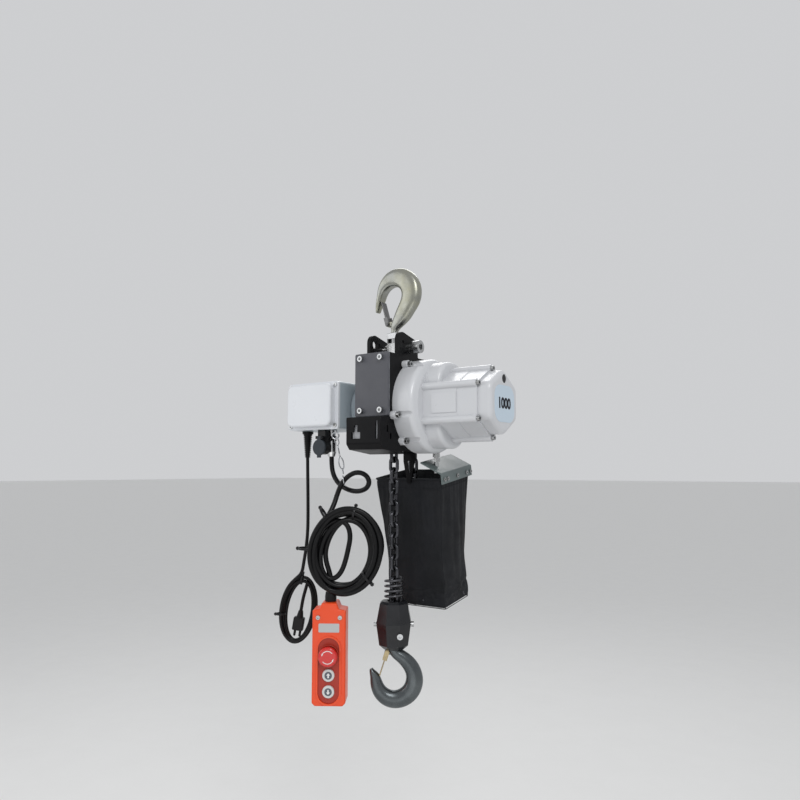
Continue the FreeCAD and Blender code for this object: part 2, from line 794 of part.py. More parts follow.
def suspension_block():
    """Block on the cross bolt; the top hook turns in it."""
    body = fillet(box((-10.5, -11, -112), (10.5, 11, -68)), 1.5, lambda edge: True)
    shank = cylinder(6.0 + FIT, 14, (0, 0, -80))
    neck_room = cylinder(9, 1.0, (0, 0, -68.5))
    nut_room = cylinder(8.6, 8.6, (0, 0, -87.8))
    window = box((-8.6, -12, -87.8), (8.6, 0, -79.2))
    bolt = cylinder("pin_radius + 0.05", 24, (-12, 0, PIN_Z), "X")
    return cut(body, shank, neck_room, nut_room, window, bolt)


add_node("suspension_block", suspension_block())


def cross_bolt():
    """M12 socket bolt through the ears, with its collar, its nut and a spacer each side of the block."""
    collar_h = 9.0
    bolt = cap_screw((PLATE_OUT + collar_h, 0, PIN_Z), "+X", 11.5, 13, 6.0,
                     2 * PLATE_OUT + 12 + collar_h)
    collar = cut(cylinder(9.8, collar_h, (PLATE_OUT, 0, PIN_Z), "X"),
                 cylinder(6.0, 40, (PLATE_OUT - 5, 0, PIN_Z), "X"))
    spacers = []
    for x in (-PLATE_IN, 10.9):
        sleeve = cylinder(9, PLATE_IN - 10.9, (x, 0, PIN_Z), "X")
        spacers.append(cut(sleeve, cylinder(6.0, 40, (x - 5, 0, PIN_Z), "X")))
    nut = cut(hexagon(18, 10, (-PLATE_OUT - 10, 0, PIN_Z), "X"),
              cylinder(6.0, 20, (-PLATE_OUT - 15, 0, PIN_Z), "X"))
    return group(bolt, collar, nut, *spacers)


add_node("cross_bolt", cross_bolt())


# ---------------------------------------------------------------- hook block

BLOCK_TOP = -544.0
BLOCK_LOW = -626.0
BLOCK_WAIST = -581.0
BLOCK_PLACE = Placement(Vector(0, LOAD_Y, 0), Rotation(Vector(0, 0, 1), FACING))
COLLAR_Z = (-604.0, -612.0)
HOOK_SHANK_R = 8.0


def octagon(half_flats, z):
    """The corners of an eight-sided section at height z."""
    obj = doc.addObject("Part::RegularPolygon", "Octagon")
    obj.Polygon = 8
    obj.Circumradius = half_flats / math.cos(math.pi / 8)
    obj.Placement = Placement(Vector(0, 0, z), Rotation(Vector(0, 0, 1), 22.5))
    return obj


def slanted_cylinder(radius, length, middle, direction):
    """A cylinder centred on a point, along any direction."""
    way = Vector(*direction).normalize()
    obj = doc.addObject("Part::Cylinder", "Cylinder")
    bind(obj, Radius=radius, Height=length)
    obj.Placement = Placement(Vector(*middle) - way * (length / 2), Rotation(Vector(0, 0, 1), way))
    return obj


CHAIN_PIN_WAY = (math.sin(math.radians(FACING)), math.cos(math.radians(FACING)), 0)
SIDE_BOLT_Z = BLOCK_WAIST - 3
FRONT_BOLT = (12.0, -599.0)


def block_half(side):
    """Half of the hook block; side is -1 for the front one and 1 for the rear one."""
    levels = [(20, BLOCK_TOP), (24, BLOCK_TOP - 4), (30, BLOCK_WAIST), (29, BLOCK_WAIST - 8),
              (25, BLOCK_LOW + 8), (16, BLOCK_LOW)]
    loft = doc.addObject("Part::Loft", "Loft")
    loft.Sections = [octagon(half, z) for half, z in levels]
    loft.Solid = True
    loft.Ruled = True
    low_of_chain = BLOCK_WAIST - 14
    chain_room = cylinder(11.6, BLOCK_TOP + 1 - low_of_chain, (0, 0, low_of_chain))
    collar_room = cylinder(13.4, COLLAR_Z[0] - COLLAR_Z[1] + 1, (0, 0, COLLAR_Z[1] - 0.5))
    shank_room = cylinder(HOOK_SHANK_R + 0.1, 30, (0, 0, BLOCK_LOW - 5))
    neck_room = cylinder(13.6, 4.6, (0, 0, BLOCK_LOW - 0.2))
    pin_room = slanted_cylinder(3.1, 30, (0, 0, CHAIN_PIN_Z), CHAIN_PIN_WAY)
    side_bolt = [slanted_cylinder(2.5, 14, (27 * way, 0, SIDE_BOLT_Z), (1, 0, 0)) for way in (-1, 1)]
    front_bolt = cylinder(2.5, 50, (FRONT_BOLT[0], -30, FRONT_BOLT[1]), "Y")
    low = -40 if side < 0 else 0
    keep = box((-40, low, BLOCK_LOW - 1), (40, low + 40, BLOCK_TOP + 1))
    tools = [chain_room, collar_room, shank_room, neck_room, pin_room, front_bolt] + side_bolt
    return common(cut(loft, *tools), keep)


CHAIN_PIN_Z = STRAND_TOP - PITCH * LOAD_LINKS + WIRE / 2 + FIT
add_node("hook_block_front", block_half(-1), BLOCK_PLACE)
add_node("hook_block_rear", block_half(1), BLOCK_PLACE)


def hook_block_bolts():
    """Side bolts, front bolt with a socket head, and the short pin that holds the last link."""
    heads = []
    for way in (-1, 1):
        head = slanted_cylinder(4.6, 5, (way * 32.6, 0, SIDE_BOLT_Z), (1, 0, 0))
        thread = slanted_cylinder(2.45, 10, (way * 26.3, 0, SIDE_BOLT_Z), (1, 0, 0))
        heads.append(fuse(head, thread))
    x, z = FRONT_BOLT
    front = cap_screw((x, -28.4, z), "-Y", 5.0, 4.5, 2.45, 20)
    return heads + [front, slanted_cylinder(3.05, 29, (0, 0, CHAIN_PIN_Z), CHAIN_PIN_WAY)]


add_node("hook_block_bolts", group(*hook_block_bolts()), BLOCK_PLACE)

LOWER_PLACE = Placement(Vector(0, LOAD_Y, LOWER_BOWL_Z), Rotation(Vector(0, 0, 1), FACING))
LOWER_COLLAR = COLLAR_Z[0] - LOWER_BOWL_Z
LOWER_PIVOT = (-11.5, 44.0)
LOWER_BOWL = [(159, 42, 3.2, 3.8), (168, 36.5, 6.5, 7), (184, 32, 9.5, 8.5), (208, 32, 11.5, 10),
              (236, 34, 13.3, 11), (266, 35.7, 14.7, 11.5), (296, 36.3, 15.3, 11.5),
              (325, 36.5, 15.4, 11.5), (352, 36.2, 15.0, 11.5), (18, 35.6, 13.8, 11)]
LOWER_NECK = [(25.5, 25, 12.8, 10.6), (16.5, 33.5, 11.6, 10.6), (8, 39.5, 10.6, 10.3), (2.2, 44.8, 10, 10),
              (0, 49, 10, 10), (0, 52.5, 10, 10)]
lower_hook_shape = hook_shape(LOWER_BOWL, LOWER_NECK, 2.0)
lower_hook = hook_with_shank(lower_hook_shape, LOWER_PIVOT, LOWER_NECK[-1][1], HOOK_SHANK_R,
                             LOWER_COLLAR, COLLAR_Z[0] - COLLAR_Z[1])
add_shape("lower_hook", lower_hook, LOWER_PLACE)
add_shape("lower_latch", latch_shape(LOWER_PIVOT, (-24.4, 4.5)), LOWER_PLACE)


def chain_spring():
    """Open coil spring round the chain, standing on the hook block."""
    wire_r = 2.0
    helix = doc.addObject("Part::Helix", "Helix")
    bind(helix, Pitch=8.8, Height=38.0, Radius=15.2)
    start = BLOCK_TOP + wire_r + 0.05
    helix.Placement = Placement(Vector(0, LOAD_Y, start), Rotation())
    section = doc.addObject("Part::Circle", "Circle")
    section.Radius = wire_r
    section.Placement = Placement(Vector(15.2, LOAD_Y, start), Rotation(Vector(1, 0, 0), 90))
    coil = doc.addObject("Part::Sweep", "Sweep")
    coil.Sections = [section]
    coil.Spine = (helix, [])
    coil.Solid = True
    coil.Frenet = True
    return coil


add_node("chain_spring", chain_spring())


# ---------------------------------------------------------------- gear case and motor

CASE_END = 143.0
COVER_END = 205.0
BOSS_END = 181.0
WALL_X = 66.0
SEAT_END = 75.0
SEAT_R = 16.0
BOSS_RING = 59.0
BOSS_R = 6.5
BOSS_ANGLES = [30, 90, 150, 210, 270, 330]


def hexagon_points(inradius, corner):
    """Corners of a hexagon that stands on a point, each rounded."""
    reach = inradius / math.cos(math.pi / 6)
    return [(reach * math.cos(math.radians(a)), reach * math.sin(math.radians(a)), corner) for a in BOSS_ANGLES]


def draw_bosses(sketch, radius):
    """The six bosses, or their holes, round the motor."""
    for angle in BOSS_ANGLES:
        way = math.radians(angle)
        draw_circle(sketch, BOSS_RING * math.cos(way), BOSS_RING * math.sin(way), radius)


def gear_case():
    """Cast drum, shoulder lobes, hexagonal motor part, bosses and flange lugs, with both cavities."""
    drum_r = size("drum_radius")
    drum_end = PLATE_OUT + size("drum_length")
    body = turned_body("gear_case", [(PLATE_OUT, 0), (PLATE_OUT, drum_r), (drum_end, drum_r, 10),
                                     (drum_end + 5, 70), (drum_end + 5, 0)])
    lobes = sketch_on(body, "YZ_Plane", drum_end - 2)
    draw_outline(lobes, [(-46, -76, 40), (46, -76, 40), (46, 76, 40), (-46, 76, 40)])
    add_pad(body, lobes, 36)
    round_edges(body, 7, in_plane("x", drum_end + 34))
    prism = sketch_on(body, "YZ_Plane", drum_end - 2)
    draw_outline(prism, hexagon_points(size("hex_inradius"), 9))
    add_pad(body, prism, CASE_END - drum_end + 2)
    bosses = sketch_on(body, "YZ_Plane", drum_end - 1)
    draw_bosses(bosses, BOSS_R)
    add_pad(body, bosses, CASE_END - drum_end + 1)
    panel = sketch_on(body, "XZ_Plane", size("hex_inradius") - 1)
    draw_outline(panel, [(94, -17, 3), (CASE_END - 0.5, -17), (CASE_END - 0.5, 17), (94, 17, 3)])
    add_pad(body, panel, 2.5)
    lugs = sketch_on(body, "YZ_Plane", PLATE_OUT)
    for y, z in FLANGE_BOLTS:
        draw_circle(lugs, y - AXIS_Y, z - AXIS_Z, 7)
    add_pad(body, lugs, FLANGE_X - PLATE_OUT)
    inside = sketch_on(body, "XY_Plane")
    draw_outline(inside, [(PLATE_OUT - 1, 0), (PLATE_OUT - 1, drum_r - 4.5), (WALL_X, drum_r - 4.5, 4),
                          (WALL_X, SEAT_R), (SEAT_END, SEAT_R), (SEAT_END, 45.98), (CASE_END + 1, 45.98),
                          (CASE_END + 1, 0)])
    add_revolution(body, inside, cutting=True)
    head_room = sketch_on(body, "YZ_Plane", FLANGE_X)
    for y, z in FLANGE_BOLTS:
        draw_circle(head_room, y - AXIS_Y, z - AXIS_Z, 6.4)
    add_pocket(body, head_room, 40, reverse=True)
    drilled = sketch_on(body, "YZ_Plane", FLANGE_X)
    for y, z in FLANGE_BOLTS:
        draw_circle(drilled, y - AXIS_Y, z - AXIS_Z, 2.6)
    add_pocket(body, drilled, 12)
    tapped = sketch_on(body, "YZ_Plane", CASE_END)
    draw_bosses(tapped, 2.1)
    add_pocket(body, tapped, 12)
    bush = sketch_on(body, "YZ_Plane", WALL_X)
    draw_circle(bush, 0, CENTRES, LAY_R + FIT)
    add_pocket(body, bush, 6.5, reverse=True)
    return body


add_node("gear_case", gear_case())


def motor_cover():
    """Hexagonal end part of the motor, with bosses that stop short of its rounded end."""
    body = new_body("motor_cover")
    body.Placement = Placement(Vector(0, AXIS_Y, AXIS_Z), Rotation())
    prism = sketch_on(body, "YZ_Plane", CASE_END)
    draw_outline(prism, hexagon_points(size("hex_inradius") - 0.8, 13))
    add_pad(body, prism, BOSS_END - CASE_END)
    end = sketch_on(body, "YZ_Plane", BOSS_END - 1)
    draw_outline(end, hexagon_points(size("cap_inradius"), 16))
    add_pad(body, end, COVER_END - BOSS_END + 1)
    round_edges(body, 8, in_plane("x", COVER_END))
    bosses = sketch_on(body, "YZ_Plane", CASE_END)
    draw_bosses(bosses, BOSS_R)
    add_pad(body, bosses, BOSS_END - CASE_END)
    inside = sketch_on(body, "XY_Plane")
    draw_outline(inside, [(CASE_END - 1, 0), (CASE_END - 1, 44), (198, 44, 4), (198, 22), (184, 22),
                          (184, SEAT_R), (193.2, SEAT_R), (193.2, 9), (196, 9), (196, 0)])
    add_revolution(body, inside, cutting=True)
    drilled = sketch_on(body, "YZ_Plane", BOSS_END)
    draw_bosses(drilled, 2.1)
    add_pocket(body, drilled, 40)
    plug = sketch_on(body, "YZ_Plane", COVER_END)
    draw_circle(plug, 0, 39.5, 7.5)
    add_pocket(body, plug, 2.0)
    return body


add_node("motor_cover", motor_cover())


def motor_screws():
    """The cap screws that hold the motor end cover."""
    screws = []
    for angle in BOSS_ANGLES:
        way = math.radians(angle)
        place = (BOSS_END, AXIS_Y + BOSS_RING * math.cos(way), AXIS_Z + BOSS_RING * math.sin(way))
        screws.append(cap_screw(place, "+X", 4.3, 5, 2.05, 48))
    return group(*screws)


add_node("motor_screws", motor_screws())


def pipe(outer, bore, start_x, length):
    """A ring about the main axis."""
    return cut(cylinder(outer, length, (start_x, AXIS_Y, AXIS_Z), "X"),
               cylinder(bore, length + 2, (start_x - 1, AXIS_Y, AXIS_Z), "X"))


STACK = (87.0, 133.0)


def stator():
    """Laminated core, and a winding head at each end of it."""
    core = pipe("stator_radius - 0.05", 27, STACK[0], STACK[1] - STACK[0])
    heads = [pipe(42, 29.5, STACK[0] - 9, 8.9), pipe(42, 29.5, STACK[1] + 0.1, 8.9)]
    return group(core, *heads)


add_node("stator", stator())


# ---------------------------------------------------------------- gears

def tooth_points(teeth, addendum):
    """Half outlines of one tooth about the +X direction: straight root, then an involute."""
    module = size("gear_module")
    pitch_r = module * teeth / 2
    base_r = pitch_r * math.cos(math.radians(20))
    tip_r = pitch_r + addendum
    root_r = pitch_r - 1.2 * module
    slack = 0.09 / pitch_r
    half_at_pitch = math.pi / (2 * teeth) - slack
    lean = math.tan(math.radians(20)) - math.radians(20)
    flank = []
    start_r = max(base_r, root_r)
    for i in range(5):
        r = start_r + (tip_r - start_r) * i / 4
        roll = math.acos(min(1.0, base_r / r))
        angle = half_at_pitch + lean - (math.tan(roll) - roll)
        flank.append((r * math.cos(angle), r * math.sin(angle)))
    base_angle = math.atan2(flank[0][1], flank[0][0])
    inside = root_r - 0.4
    upper = [(inside * math.cos(base_angle), inside * math.sin(base_angle))] + flank
    lower = [(x, -y) for x, y in reversed(upper)]
    return lower + upper, root_r


def gear(name, teeth_cell, start_x, width, addendum, bore_r=None):
    """A spur gear about the X axis: one tooth, repeated as often as the sheet says."""
    teeth = int(size(teeth_cell))
    points, root_r = tooth_points(teeth, addendum)
    body = new_body(name)
    disc = sketch_on(body, "YZ_Plane", start_x)
    draw_circle(disc, 0, 0, root_r)
    if bore_r is not None:
        draw_circle(disc, 0, 0, bore_r)
    add_pad(body, disc, width)
    tooth = sketch_on(body, "YZ_Plane", start_x)
    draw_outline(tooth, points)
    pad = add_pad(body, tooth, width)
    add_polar(body, pad, teeth_cell, tooth)
    return body


WHEEL_ADDENDUM = 0.9
PINION_ADDENDUM = 1.15
output = gear("output_gear", "wheel_teeth", 42, 8, WHEEL_ADDENDUM, size("shaft_radius") + 0.02)
output.Placement = Placement(Vector(0, AXIS_Y, AXIS_Z), Rotation())
add_node("output_gear", output)

lay_pinion = gear("lay_pinion_teeth", "pinion_teeth", 41, 10, PINION_ADDENDUM)
lay_pinion.Placement = Placement(Vector(0, AXIS_Y, LAY_Z), Rotation())
lay_gear = gear("lay_gear_teeth", "wheel_teeth", 54, 8, WHEEL_ADDENDUM)
lay_gear.Placement = Placement(Vector(0, AXIS_Y, LAY_Z), Rotation())
lay_rod = cylinder(LAY_R, 44, (PLATE_IN + 0.5, AXIS_Y, LAY_Z), "X")
add_node("layshaft", fuse(lay_rod, lay_pinion, lay_gear))

rotor_pinion = gear("rotor_pinion_teeth", "pinion_teeth", 53, 10.5, PINION_ADDENDUM)
rotor_pinion.Placement = Placement(Vector(0, AXIS_Y, AXIS_Z), Rotation())
rotor_rod = cylinder("rotor_shaft_radius", 130, (64, AXIS_Y, AXIS_Z), "X")
rotor_neck = cylinder(5.6, 11, (53, AXIS_Y, AXIS_Z), "X")
rotor_core = cylinder(26.4, STACK[1] - STACK[0], (STACK[0], AXIS_Y, AXIS_Z), "X")
add_node("rotor", fuse(rotor_rod, rotor_neck, rotor_pinion, rotor_core))
add_node("rotor_bearings", group(*(
    ball_bearing(WALL_X, 9, size("rotor_shaft_radius") + 0.02, SEAT_R - 0.02)
    + ball_bearing(184, 9, size("rotor_shaft_radius") + 0.02, SEAT_R - 0.02))))
add_node("brake_disc", fuse(pipe(38, size("rotor_shaft_radius") + 0.02, 152, 6),
                            pipe(12, size("rotor_shaft_radius") + 0.02, 147, 6)))
add_node("brake_coil", fuse(pipe(43.95, 12, 162, 16), pipe(30, 24, 159.2, 3)))


# ---------------------------------------------------------------- left housing and control box

BOX_LEFT = -209.0
BOX_RIGHT = BOX_LEFT + size("box_width")
BOX_LOW = -242.0
BOX_TOP = BOX_LOW + size("box_height")
BOX_FRONT = -51.0
BOX_BACK = BOX_FRONT + size("box_depth")

left_housing = turned_body("left_housing", [
    (BOX_RIGHT, 0), (BOX_RIGHT, 51, 5), (-44, 51.5), (-44, 54), (-PLATE_OUT, 54), (-PLATE_OUT, 47.5),
    (BOX_RIGHT + 4, 47.5), (BOX_RIGHT + 4, 0)])
add_node("left_housing", left_housing)


def control_box_base():
    """The deep open half of the control box, behind the lid."""
    outer = sized_box((BOX_LEFT, BOX_FRONT, BOX_LOW), "box_width", "box_depth", "box_height")
    outer = fillet(outer, 6, along("y"))
    outer = fillet(outer, 3, in_plane("y", BOX_BACK))
    inner = box((BOX_LEFT + 4, BOX_FRONT - 1, BOX_LOW + 4), (BOX_RIGHT - 4, BOX_BACK - 4, BOX_TOP - 4))
    corners = []
    for x in (BOX_LEFT + 7, BOX_RIGHT - 7):
        for z in (BOX_LOW + 7, BOX_TOP - 7):
            corners.append(cut(cylinder(4.5, 30, (x, BOX_FRONT, z), "Y"),
                               cylinder(1.7, 12, (x, BOX_FRONT - 1, z), "Y")))
    return fuse(cut(outer, inner), *corners)


add_node("control_box_base", control_box_base())

LID_SCREWS = [(x, z) for x in (BOX_LEFT + 7, BOX_RIGHT - 7) for z in (BOX_LOW + 7, BOX_TOP - 7)]
LID_FLANGE = 5.0


def control_box_lid():
    """Flat flange with a raised, rounded middle, hollow behind."""
    body = new_body("control_box_lid")
    flange = sketch_on(body, "XZ_Plane", -BOX_FRONT)
    draw_outline(flange, [(BOX_LEFT, BOX_LOW, 6), (BOX_RIGHT, BOX_LOW, 6), (BOX_RIGHT, BOX_TOP, 6),
                          (BOX_LEFT, BOX_TOP, 6)])
    add_pad(body, flange, LID_FLANGE)
    raised = sketch_on(body, "XZ_Plane", -BOX_FRONT)
    left, right, low, top = BOX_LEFT + 8, BOX_RIGHT - 8, BOX_LOW + 5, BOX_TOP - 5
    draw_outline(raised, [(left, low, 13), (right, low, 13), (right, top, 13), (left, top, 13)])
    add_pad(body, raised, "lid_depth + %s" % LID_FLANGE)
    front = BOX_FRONT - LID_FLANGE - size("lid_depth")
    round_edges(body, 4, in_plane("y", front))
    hollow = sketch_on(body, "XZ_Plane", -BOX_FRONT)
    draw_outline(hollow, [(left + 4, low + 4, 10), (right - 4, low + 4, 10), (right - 4, top - 4, 10),
                          (left + 4, top - 4, 10)])
    add_pocket(body, hollow, "lid_depth + %s" % (LID_FLANGE - 3.5), reverse=True)
    holes = sketch_on(body, "XZ_Plane", -BOX_FRONT)
    for x, z in LID_SCREWS:
        draw_circle(holes, x, z, 2.1)
    add_pocket(body, holes)
    return body


add_node("control_box_lid", control_box_lid())


def control_board():
    """Board on four feet with a contactor and a transformer."""
    board = box((-198, 12, -230), (-98, 14, -166))
    feet = [cylinder(3, 27, (x, 14, z), "Y") for x in (-193, -103) for z in (-225, -171)]
    contactor = fillet(box((-190, -28, -222), (-150, 12, -174)), 2, along("y"))
    transformer = fillet(box((-138, -20, -220), (-104, 12, -180)), 2, along("y"))
    return fuse(board, contactor, transformer, *feet)


add_node("control_board", control_board())


# ---------------------------------------------------------------- glands, socket and lanyard under the box

LEAD_X = -195.0
LEAD_Y = -17.0
LEAD_EXIT = -292.0
CORD_X = -131.6
CORD_Y = -20.0
CORD_EXIT = -291.0


def power_gland():
    """Nut and a ribbed taper round the power cord."""
    bore = size("lead_radius") + 0.05
    outline = [(bore, BOX_LOW), (10.5, BOX_LOW), (10.5, BOX_LOW - 5), (8.4, BOX_LOW - 5)]
    z = BOX_LOW - 6.0
    radius = 8.4
    while z - 4.5 > LEAD_EXIT:
        outline += [(radius, z - 2.6), (radius - 1.7, z - 2.6), (radius - 1.7, z - 4.2)]
        radius -= 0.32
        outline.append((radius, z - 4.2))
        z -= 4.2
    outline += [(radius, LEAD_EXIT), (bore, LEAD_EXIT)]
    return upright_body("power_gland", outline, LEAD_X, LEAD_Y)


add_node("power_gland", power_gland())


def cord_gland():
    """Metal gland: threaded foot, hexagon and domed nut."""
    bore = size("cord_radius") + 0.05
    turned = upright_body("cord_gland_turned", [
        (bore, BOX_LOW), (10.5, BOX_LOW), (10.5, BOX_LOW - 3), (8, BOX_LOW - 3), (8, BOX_LOW - 22),
        (9.2, BOX_LOW - 22), (9.2, CORD_EXIT + 8, 2), (6.6, CORD_EXIT), (bore, CORD_EXIT)], CORD_X, CORD_Y)
    flats = cut(hexagon(19, 9, (CORD_X, CORD_Y, BOX_LOW - 20)),
                cylinder(bore, 30, (CORD_X, CORD_Y, BOX_LOW - 25)))
    return fuse(turned, flats)


add_node("cord_gland", cord_gland())

SOCKET = (-134.5, -44.0, -274.5)
SOCKET_FRONT = SOCKET[1] - 6.0
CAP_HINGE_Z = SOCKET[2] + 18.5
CAP_HINGE_Y = SOCKET_FRONT - 2.0


def socket_body():
    """Round socket that looks forward, on a foot below the box."""
    x, y, z = SOCKET
    barrel = cylinder(13, 16, (x, SOCKET_FRONT, z), "Y")
    foot = box((x - 9, y - 2, z), (x + 9, y + 10, BOX_LOW))
    hinge = []
    for way in (-6, 6):
        left, right = x + way - 1.5, x + way + 1.5
        hinge.append(box((left, SOCKET_FRONT, z + 8), (right, SOCKET_FRONT + 4, CAP_HINGE_Z + 2.5)))
        hinge.append(box((left, CAP_HINGE_Y - 2.2, z + 15.6), (right, SOCKET_FRONT, CAP_HINGE_Z + 2.5)))
    recess = cylinder(10, 4, (x, SOCKET_FRONT - 1, z), "Y")
    pin_hole = cylinder(1.05, 40, (x - 20, CAP_HINGE_Y, CAP_HINGE_Z), "X")
    pins = [cylinder(1.5, 3, (x + 5 * math.cos(a), SOCKET_FRONT + 1, z + 5 * math.sin(a)), "Y")
            for a in (math.pi / 2, math.pi * 7 / 6, math.pi * 11 / 6)]
    return fuse(cut(fuse(barrel, foot, *hinge), recess, pin_hole), *pins)


add_node("socket_body", socket_body())


def socket_cap():
    """Flip cap with a thumb tab, and its hinge pin."""
    x, y, z = SOCKET
    disc = fillet(cylinder(15, 3.6, (x, SOCKET_FRONT - 3.9, z), "Y"), 1.2, in_plane("y", SOCKET_FRONT - 3.9))
    arm = box((x - 4, SOCKET_FRONT - 3.9, z + 10), (x + 4, SOCKET_FRONT - 0.3, CAP_HINGE_Z))
    knuckle = cylinder(2.0, 8, (x - 4, CAP_HINGE_Y, CAP_HINGE_Z), "X")
    pin = cylinder(1.0, 16, (x - 8, CAP_HINGE_Y, CAP_HINGE_Z), "X")
    tab = box((x - 4, SOCKET_FRONT - 3.6, z - 19), (x + 4, SOCKET_FRONT - 1.2, z - 13))
    return fuse(disc, arm, knuckle, pin, tab)


add_node("socket_cap", socket_cap())


# ---------------------------------------------------------------- cords

def cord_path(route):
    """Straight runs joined by arcs as large as the runs allow; returns the wire and the radii."""
    points = [Vector(*p) for p in route]
    edges = []
    radii = []
    start = points[0]
    for before, corner, after in zip(points, points[1:], points[2:]):
        back = before - corner
        ahead = after - corner
        turn = math.pi - back.getAngle(ahead)
        reach = 0.45 * min(back.Length, ahead.Length)
        radius = reach / math.tan(turn / 2)
        radii.append(radius)
        first = corner + back.normalize() * reach
        last = corner + ahead.normalize() * reach
        inward = (back + ahead).normalize()
        to_centre = radius / math.cos(turn / 2)
        middle = corner + inward * (to_centre - radius)
        edges.append(Part.LineSegment(start, first).toShape())
        edges.append(Part.Arc(first, middle, last).toShape())
        start = last
    edges.append(Part.LineSegment(start, points[-1]).toShape())
    return Part.Wire(edges), radii


def cord_solid(name, route, radius):
    """A cord's plain solid; its volume must be its section times its length."""
    path, radii = cord_path(route)
    first = Vector(*route[1]) - Vector(*route[0])
    circle = Part.Wire([Part.makeCircle(radius, Vector(*route[0]), first)])
    tube = path.makePipeShell([circle], True, True)
    expected = math.pi * radius ** 2 * path.Length
    if abs(tube.Volume - expected) > 0.01 * expected:
        raise ValueError(name + ": the tube's volume is wrong")
    print(name, "length %.0f mm, radii" % path.Length, [round(r) for r in radii])
    return tube


LEAD_ROUTE = [
    (LEAD_X, LEAD_Y, LEAD_EXIT), (-194.4, -17, -315), (-193, -17.2, -352), (-191.6, -17.5, -392),
    (-191, -18, -431), (-194, -18.5, -463), (-199.5, -19, -492), (-202.5, -19, -518)]
CORD_ROUTE = [
    (CORD_X, CORD_Y, CORD_EXIT), (-131.5, -20.2, -307), (-126, -21, -326), (-112.9, -22, -341),
    (-92, -23.5, -351.5), (-66.1, -25.5, -355.5), (-44, -27.5, -350.5), (-34.6, -29, -339),
    (-38.5, -30.5, -327.5), (-50, -32, -321), (-64, -33.5, -320.5), (-77, -35, -326),
    (-88, -36.5, -335), (-94.8, -38.5, -346), (-99, -42, -361), (-100.2, -46, -377),
    (-101.5, -50, -391)]
COIL_CENTRE = (-71.0, -52.0, -457.0)
HANK_CENTRE = (-219.4, -17.0, -588.0)
COIL_PLACE = Placement(Vector(*COIL_CENTRE), Rotation(Vector(0, 0, 1), FACING) * Rotation(Vector(0, 1, 0), 12))
HANK_PLACE = Placement(Vector(*HANK_CENTRE), Rotation(Vector(0, 0, 1), FACING) * Rotation(Vector(0, 1, 0), 9))
PLUG_X = 8.5
PLUG_TOP = 6.0
add_shape("power_cord", cord_solid("power_cord", LEAD_ROUTE, size("lead_radius")))
add_shape("pendant_cord", cord_solid("pendant_cord", CORD_ROUTE, size("cord_radius")))


def oval_ring(outer, inner, inner_x, thick, rounding):
    """An upright oval ring in the XZ plane with rounded edges; its hole may sit off centre."""
    blocks = []
    for radii, x, depth in ((outer, 0, thick), (inner, inner_x, thick + 4)):
        oval = doc.addObject("Part::Ellipse", "Ellipse")
        bind(oval, MajorRadius=radii[1], MinorRadius=radii[0])
        upright = Rotation(Vector(0, 0, 1), Vector(-1, 0, 0), Vector(0, -1, 0), "XZY")
        oval.Placement = Placement(Vector(x, depth / 2, 0), upright)
        block = doc.addObject("Part::Extrusion", "Extrusion")
        block.Base = oval
        block.DirMode = "Custom"
        block.Dir = Vector(0, -1, 0)
        bind(block, LengthFwd=depth)
        block.Solid = True
        blocks.append(block)
    return fillet(cut(blocks[0], blocks[1]), rounding, lambda edge: True)


add_node("pendant_coil", oval_ring((71, 83), (34, 52), 8, 30, 9), COIL_PLACE)


def power_hank():
    """The hanked cord's outer shape with the short end that the plug hangs on."""
    ring = oval_ring((35.5, 69), (16.5, 50), 7, 18, 4.5)
    end = doc.addObject("Part::Feature", "PlugEnd")
    end.Shape = cord_solid("plug end", [(PLUG_X + 2, 0, 62), (PLUG_X + 2, 0, 46), (PLUG_X + 0.4, 0, 32),
                                        (PLUG_X, 0, 18), (PLUG_X, 0, PLUG_TOP)], size("lead_radius"))
    return fuse(ring, end)


add_node("power_hank", power_hank(), HANK_PLACE)


def power_plug():
    """Two-pin plug on the hank's short end."""
    relief = cone(7, 4.4, 14, (PLUG_X, 0, PLUG_TOP - 14))
    block = box((PLUG_X - 11, -7, PLUG_TOP - 37), (PLUG_X + 10, 7, PLUG_TOP - 12))
    body = fillet(block, 3, lambda edge: True)
    pins = []
    for way in (-5, 5):
        tip = (PLUG_X + way, 0, PLUG_TOP - 46)
        pins.append(fuse(cylinder(2.4, 10, tip), sphere(2.4, tip)))
    return fuse(relief, body, *pins)


add_node("power_plug", power_plug(), HANK_PLACE)

LOOP_TIE = (-88.0, -36.5, -335.0)
EYE = (-100.6, -46.0, -252.0)


def lanyard():
    """Screw eye under the box, and the thin wire that carries the cord's loop."""
    stem = cylinder(2.4, 5, (EYE[0], EYE[1], BOX_LOW - 5))
    eye = torus(5.5, 1.5, (EYE[0], EYE[1], EYE[2] - 1.5), "Y")
    top = Vector(EYE[0], EYE[1], EYE[2] - 6)
    low = Vector(LOOP_TIE[0], LOOP_TIE[1], LOOP_TIE[2] + size("cord_radius") + 4)
    way = low - top
    wire = slanted_cylinder(1.1, way.Length, (top + low) / 2, way)
    return fuse(stem, eye, wire)


add_node("lanyard", lanyard())


# ---------------------------------------------------------------- pendant

PENDANT_PLACE = Placement(Vector(-91, -66, 0), Rotation(Vector(0, 0, 1), FACING))
PENDANT_TOP = -545.0
PENDANT_LOW = PENDANT_TOP - size("pendant_height")
HALF_DEPTH = size("pendant_depth") / 2
SPLIT_Y = -2.0
STOP_Z = -632.0
UP_Z = -665.0
DOWN_Z = -692.0
BEZEL_HEIGHT = 2.0
STOP_STEM_R = 8.0
CASE_WALL = 2.5


